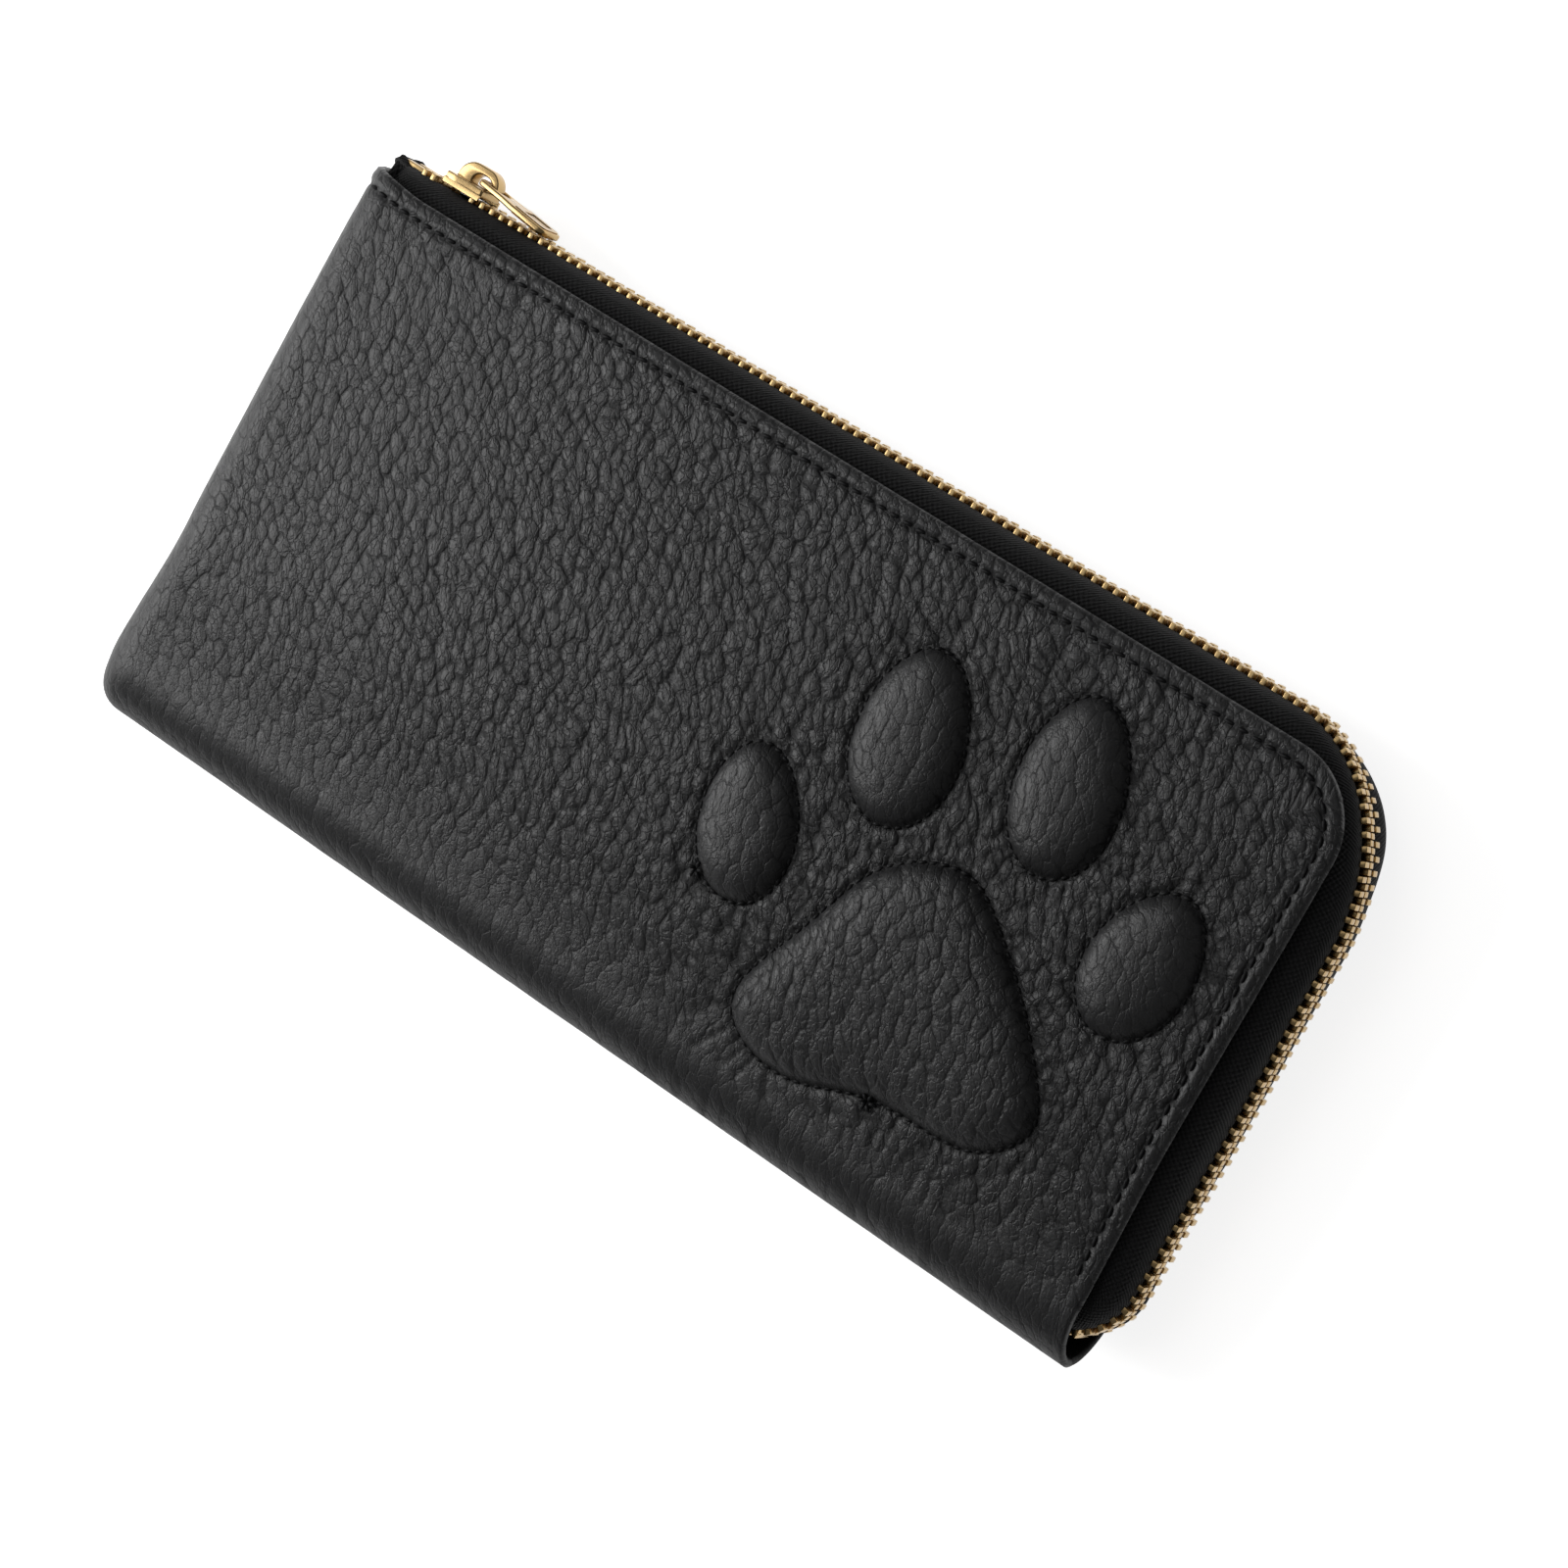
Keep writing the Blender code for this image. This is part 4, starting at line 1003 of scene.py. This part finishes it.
def puller_mesh(name, sizes):
    """A flat tab with an eye, and a raised rim on both sides."""
    reach, eye_half = sizes["eye"]
    length, width, bar = sizes["length"], sizes["half_width"], sizes["thick"] / 2
    neck = 0.8 * width
    side = np.vstack([arc(-bar + 1.2, neck - 1.2, 1.2, 180, 90, 6), [(reach, neck), (reach + 2.6, width)],
                      arc(length - TAB_ROUND, width - TAB_ROUND, TAB_ROUND, 90, 0, 8)])
    outline = np.vstack([side, side[::-1] * (1, -1)])
    eye = np.vstack([[(bar, -eye_half), (bar, eye_half)], arc(reach - eye_half, 0, eye_half, 90, -90, 12)])
    turn = Matrix.Rotation(math.radians(sizes["turn"]), 4, "Z")
    place = Matrix.Translation(Vector(sizes["pivot"]) * MM) @ turn @ ACROSS
    shapes = [rounded_plate([outline.tolist(), eye.tolist()], -bar, bar, 0.3, place)]
    rim = tab_rim(reach, length, width)
    for low, high in ((bar - 0.25, bar + 0.16), (-bar - 0.16, -bar + 0.25)):
        shapes.append(rounded_plate(rim, low, high, 0.12, place))
    return joined_mesh(name, shapes)


def sliders(gold):
    for node, sizes in (("slider", MAIN_SLIDER), ("coin_slider", COIN_SLIDER)):
        low, high = node_box(node)
        half = ((high[0] - low[0]) - sizes["overhang"]) / 2
        reach = sizes["channel"][0] + sizes["plate"]
        centre = (low[0] + half, low[1] + reach + sizes["raised"], (low[2] + high[2]) / 2)
        name = node + "_metal"
        new_piece(name, slider_mesh(name, centre, half, sizes), gold, "gold_metal", node, node)
    for node, sizes in (("puller", MAIN_PULLER), ("coin_puller", COIN_PULLER)):
        name = node + "_tab"
        new_piece(name, puller_mesh(name, sizes), gold, "gold_metal", node, node)


# ---------------------------------------------------------------- materials

class Nodes:
    """Short calls to build a material's node tree."""

    def __init__(self, name):
        self.mat = bpy.data.materials.new(name)
        self.mat.use_nodes = True
        self.tree = self.mat.node_tree
        self.shader = self.tree.nodes["Principled BSDF"]

    def add(self, kind, **settings):
        node = self.tree.nodes.new(kind)
        for key, value in settings.items():
            setattr(node, key, value)
        return node

    def fill(self, socket, value):
        if isinstance(value, bpy.types.NodeSocket):
            self.tree.links.new(value, socket)
        elif isinstance(value, tuple) and socket.type == "RGBA":
            socket.default_value = (*value, 1)
        else:
            socket.default_value = value

    def put(self, node, **inputs):
        for key, value in inputs.items():
            self.fill(node.inputs[key.replace("_", " ")], value)
        return node

    def uv(self):
        return self.add("ShaderNodeUVMap").outputs["UV"]

    def place(self):
        return self.add("ShaderNodeTexCoord").outputs["Object"]

    def math(self, operation, a, b=0.0, c=0.0, clamp=False):
        node = self.add("ShaderNodeMath", operation=operation, use_clamp=clamp)
        for socket, value in zip(node.inputs, (a, b, c)):
            self.fill(socket, value)
        return node.outputs[0]

    def times(self, a, b):
        return self.math("MULTIPLY", a, b)

    def line(self, a, b, c, clamp=False):
        """a * b + c"""
        return self.math("MULTIPLY_ADD", a, b, c, clamp)

    def wave(self, place, pitch):
        return self.math("SINE", self.times(place, 2 * math.pi / pitch))

    def mix(self, factor, a, b):
        node = self.add("ShaderNodeMix", data_type="RGBA")
        for number, value in ((0, factor), (6, a), (7, b)):
            self.fill(node.inputs[number], value)
        return node.outputs[2]

    def noise(self, coordinates, scale, detail=3.0, output="Fac"):
        node = self.put(self.add("ShaderNodeTexNoise"), Vector=coordinates, Scale=scale, Detail=detail)
        return node.outputs[output]

    def cells(self, coordinates, scale, randomness=1.0, feature="DISTANCE_TO_EDGE", dimensions="2D"):
        """Distance to the border of a cell about 1 / scale across, or to its middle (feature F1)."""
        node = self.add("ShaderNodeTexVoronoi", feature=feature, voronoi_dimensions=dimensions)
        return self.put(node, Vector=coordinates, Scale=scale, Randomness=randomness).outputs["Distance"]

    def ramp(self, value, low, high, first, last):
        """A smooth step from first to last as the value goes from low to high."""
        node = self.add("ShaderNodeMapRange", interpolation_type="SMOOTHSTEP")
        self.put(node, Value=value, From_Min=low, From_Max=high, To_Min=first, To_Max=last)
        return node.outputs["Result"]

    def bump(self, height, strength, distance):
        node = self.put(self.add("ShaderNodeBump"), Height=height, Strength=strength, Distance=distance)
        return node.outputs["Normal"]

    def split(self, vector):
        node = self.add("ShaderNodeSeparateXYZ")
        self.fill(node.inputs[0], vector)
        return node.outputs

    def attribute(self, name):
        return self.add("ShaderNodeAttribute", attribute_name=name).outputs["Fac"]

    def finish(self, **inputs):
        self.put(self.shader, **inputs)
        return self.mat


def leather_material():
    """Grained leather: a lattice of creases between pillowed cells, finer creases across them, pores; the
    creases and wrinkles get painted shade that darkens them towards near black.
    The mesh carries each point's place in the lattice, its puckers, the painted shade of its gathers and
    stitch grooves, and how flat its grain is pulled."""
    m = Nodes("black_grained_leather")
    uv = m.uv()
    crease, calm = m.attribute("crease"), m.attribute("calm")
    lattice_place = m.add("ShaderNodeCombineXYZ")
    m.put(lattice_place, X=m.attribute("grain_a"), Y=m.attribute("grain_b"))
    ragged = m.noise(uv, 95.0, output="Color")
    shifted = m.add("ShaderNodeVectorMath", operation="MULTIPLY_ADD")
    for socket, value in zip(shifted.inputs, (ragged, (0.44, 0.44, 0.0), lattice_place.outputs[0])):
        m.fill(socket, value)
    lattice_place = shifted.outputs[0]
    steady = m.line(calm, -0.8, 1.0)
    patch = m.ramp(m.noise(uv, 34.0, 2.0), 0.34, 0.68, 0.0, 1.0)
    gap = m.cells(lattice_place, 1.0, 0.72)
    dome = m.cells(lattice_place, 1.0, 0.72, "F1")
    valley = m.ramp(gap, 0.0, m.times(steady, m.line(patch, 0.19, 0.11)), 1.0, 0.0)
    pillow = m.line(m.times(dome, dome), m.line(patch, -0.8, -1.4), 1.0)
    valley = m.times(valley, m.line(patch, 0.7, 0.3))
    fine_gap = m.cells(lattice_place, 2.3)
    wrinkle = m.times(m.ramp(fine_gap, 0.0, 0.16, 1.0, 0.0), m.line(patch, -0.6, 0.9))
    cloud, fine = m.noise(uv, 4.0), m.noise(uv, 300.0, 4.0)
    pores = m.cells(uv, 210.0, feature="F1", dimensions="3D")
    top = m.mix(cloud, (0.0155, 0.0155, 0.016), (0.0215, 0.0215, 0.0225))
    # Painted shade: the colour goes towards near black in the lattice's creases, in the fine wrinkles and
    # where the crease attribute marks gathers and stitch grooves; grain pulled flat (calm) gets less of it.
    shade = m.line(valley, m.line(calm, -0.4, 0.9), m.line(wrinkle, 0.3, m.times(crease, 0.9)), clamp=True)
    colour = m.mix(shade, top, (0.003, 0.003, 0.0034))
    rough = m.math("ADD", m.times(fine, 0.14), m.line(shade, 0.25, 0.37))
    relief = m.times(m.line(valley, -0.4, m.line(wrinkle, -0.38, pillow)), steady)
    height = m.math("ADD", relief, m.math("ADD", m.times(fine, 0.16), m.times(pores, 0.1)))
    edge = m.attribute("edge")
    colour = m.mix(edge, colour, (0.0035, 0.0035, 0.004))
    return m.finish(Base_Color=colour, Roughness=m.line(edge, -0.08, rough),
                    Specular_IOR_Level=m.line(m.attribute("under"), -0.4, 0.5),
                    Normal=m.bump(height, 1.0, 0.00026))


def thread_material():
    m = Nodes("black_thread")
    wave = m.noise(m.place(), 2500.0, 2.0)
    colour = m.mix(wave, (0.003, 0.003, 0.0035), (0.010, 0.010, 0.011))
    return m.finish(Base_Color=colour, Roughness=0.62, Specular_IOR_Level=0.3,
                    Normal=m.bump(wave, 0.6, 0.0001))


def tape_material():
    """Woven tape: fine slanted ribs near the chain and rows of raised beads towards the leather."""
    m = Nodes("black_woven_tape")
    along, across = (m.times(part, UV_MM) for part in m.split(m.uv())[:2])
    rib = m.wave(m.line(across, 0.75, along), 0.62)
    bead = m.times(m.wave(along, 0.95), m.wave(across, 0.9))
    outer = m.math("MINIMUM", m.math("SMOOTH_MAX", m.line(across, 0.6, -2.2), 0.0, 0.1), 1.0)
    weave = m.math("ADD", m.times(rib, m.line(outer, -0.3, 0.45)), m.times(bead, outer))
    height = m.math("ADD", weave, m.times(m.noise(m.uv(), 700.0, 3.0), 0.5))
    # Painted shade and light: the colour follows the weave's height, dark in its hollows and lighter on the
    # raised ribs and beads.
    colour = m.mix(m.line(height, 0.5, 0.3, clamp=True), (0.0010, 0.0010, 0.0012), (0.013, 0.013, 0.0135))
    return m.finish(Base_Color=colour, Roughness=0.75, Specular_IOR_Level=0.18,
                    Normal=m.bump(height, 0.8, 0.00022))


def gold_material():
    m = Nodes("polished_gold")
    place = m.place()
    wear, cloud = m.noise(place, 900.0, 4.0), m.noise(place, 160.0, 2.0)
    colour = m.mix(cloud, (0.40, 0.265, 0.115), (0.60, 0.43, 0.21))
    return m.finish(Base_Color=colour, Metallic=1.0, Roughness=m.line(wear, 0.14, 0.19),
                    Normal=m.bump(wear, 0.05, 0.00002))


def plain_material(name, colour, roughness, scale, strength=0.4):
    m = Nodes(name)
    fine = m.noise(m.place(), scale, 4.0)
    dark = tuple(0.6 * c for c in colour)
    return m.finish(Base_Color=m.mix(fine, dark, colour), Roughness=roughness, Specular_IOR_Level=0.5,
                    Normal=m.bump(fine, strength, 0.0001))


def lining_material():
    """Plain-weave polyester: warp and weft ridges."""
    m = Nodes("black_lining")
    weave = m.times(*(m.wave(part, 0.5 / UV_MM) for part in m.split(m.uv())[:2]))
    height = m.math("ADD", weave, m.times(m.noise(m.uv(), 600.0, 3.0), 0.5))
    # Painted shade and light: the colour follows the weave's height, dark in its hollows and lighter on its
    # ridges.
    colour = m.mix(m.line(height, 0.4, 0.4, clamp=True), (0.006, 0.006, 0.007), (0.022, 0.022, 0.025))
    return m.finish(Base_Color=colour, Roughness=0.7, Specular_IOR_Level=0.3,
                    Normal=m.bump(height, 0.5, 0.00012))


def floor_material():
    m = Nodes("pale_floor")
    cloud = m.noise(m.place(), 3.0, 2.0)
    colour = m.mix(cloud, (0.90, 0.90, 0.90), (0.92, 0.92, 0.92))
    return m.finish(Base_Color=colour, Roughness=0.9, Emission_Color=(1.0, 1.0, 1.0),
                    Emission_Strength=0.82)


def dress_nodes(looks):
    """Every CAD node gets the finish of its slot, also those that a visual piece stands for."""
    slots = {part["node"]: part["material_slot"] for part in frame["record"]["subparts"]}
    for node, obj in frame["nodes"].items():
        obj.data.materials.clear()
        obj.data.materials.append(looks[slots[node]])


# ---------------------------------------------------------------- stage, light and camera

ROOM_LIGHT = 0.12


def stage():
    bm = bmesh.new()
    place = Matrix.Translation((0, 0, FLOOR_Z * MM))
    bmesh.ops.create_grid(bm, x_segments=2, y_segments=2, size=3.0, matrix=place)
    mesh = bmesh_mesh("floor", bm)
    mesh.materials.append(floor_material())
    new_object("floor", mesh)


def area_light(name, place, aim, size, power):
    light = bpy.data.lights.new(name, "AREA")
    light.shape = "RECTANGLE"
    light.size, light.size_y = size
    light.energy = power
    obj = new_object(name, light)
    obj.location = place
    obj.rotation_euler = (Vector(aim) - Vector(place)).to_track_quat("-Z", "Y").to_euler()


def lights():
    """A big soft window on the closed short end's side, and an even pale room."""
    world = bpy.data.worlds.new("studio")
    bpy.context.scene.world = world
    world.use_nodes = True
    background = world.node_tree.nodes["Background"]
    background.inputs["Color"].default_value = (1, 1, 1, 1)
    background.inputs["Strength"].default_value = ROOM_LIGHT
    area_light("window", (-0.45, -0.10, 0.32), (0, 0, 0), (0.36, 0.36), 2.1)
    area_light("overhead", (-0.5, 0.3, 1.1), (0, 0, 0), (1.0, 1.0), 1.9)


def camera():
    """A long lens from the front right, turned so that the wallet's long side runs down to the right."""
    data = bpy.data.cameras.new("camera")
    data.sensor_width = 36
    data.lens = 112.7
    obj = new_object("camera", data)
    place, aim, roll = Vector((303.0, 111.1, 667.8)) * MM, Vector((11.9, -0.9, MIDDLE)) * MM, -79.9
    turn = (aim - place).to_track_quat("-Z", "Y").to_matrix().to_4x4()
    obj.matrix_world = Matrix.Translation(place) @ turn @ Matrix.Rotation(math.radians(roll), 4, "Z")
    data.clip_start, data.clip_end = 0.01, 20
    bpy.context.scene.camera = obj


def build():
    camera()
    bpy.context.scene.view_settings.view_transform = "Standard"
    thread = thread_material()
    looks = {
        "grained_leather": leather_material(),
        "lining_cloth": lining_material(),
        "card_leather": plain_material("card_leather", (0.022, 0.022, 0.024), 0.5, 700.0),
        "foam": plain_material("padding_foam", (0.5, 0.5, 0.48), 0.95, 900.0, 0.8),
        "woven_tape": tape_material(),
        "gold_metal": gold_material(),
        "black_coil": plain_material("coil_nylon", (0.008, 0.008, 0.009), 0.4, 500.0, 0.2),
    }
    dress_nodes(looks)
    tape_mat, gold = looks["woven_tape"], looks["gold_metal"]
    outer_leather(looks["grained_leather"])
    leather_stitching(thread)
    linings(looks["lining_cloth"])
    padding(looks["foam"])
    card_panels(looks["card_leather"], thread)
    coin_pocket(looks["lining_cloth"])
    coin_zip(tape_mat, looks["black_coil"], gold)
    main_zip(tape_mat, gold)
    sliders(gold)
    stage()
    lights()


build()
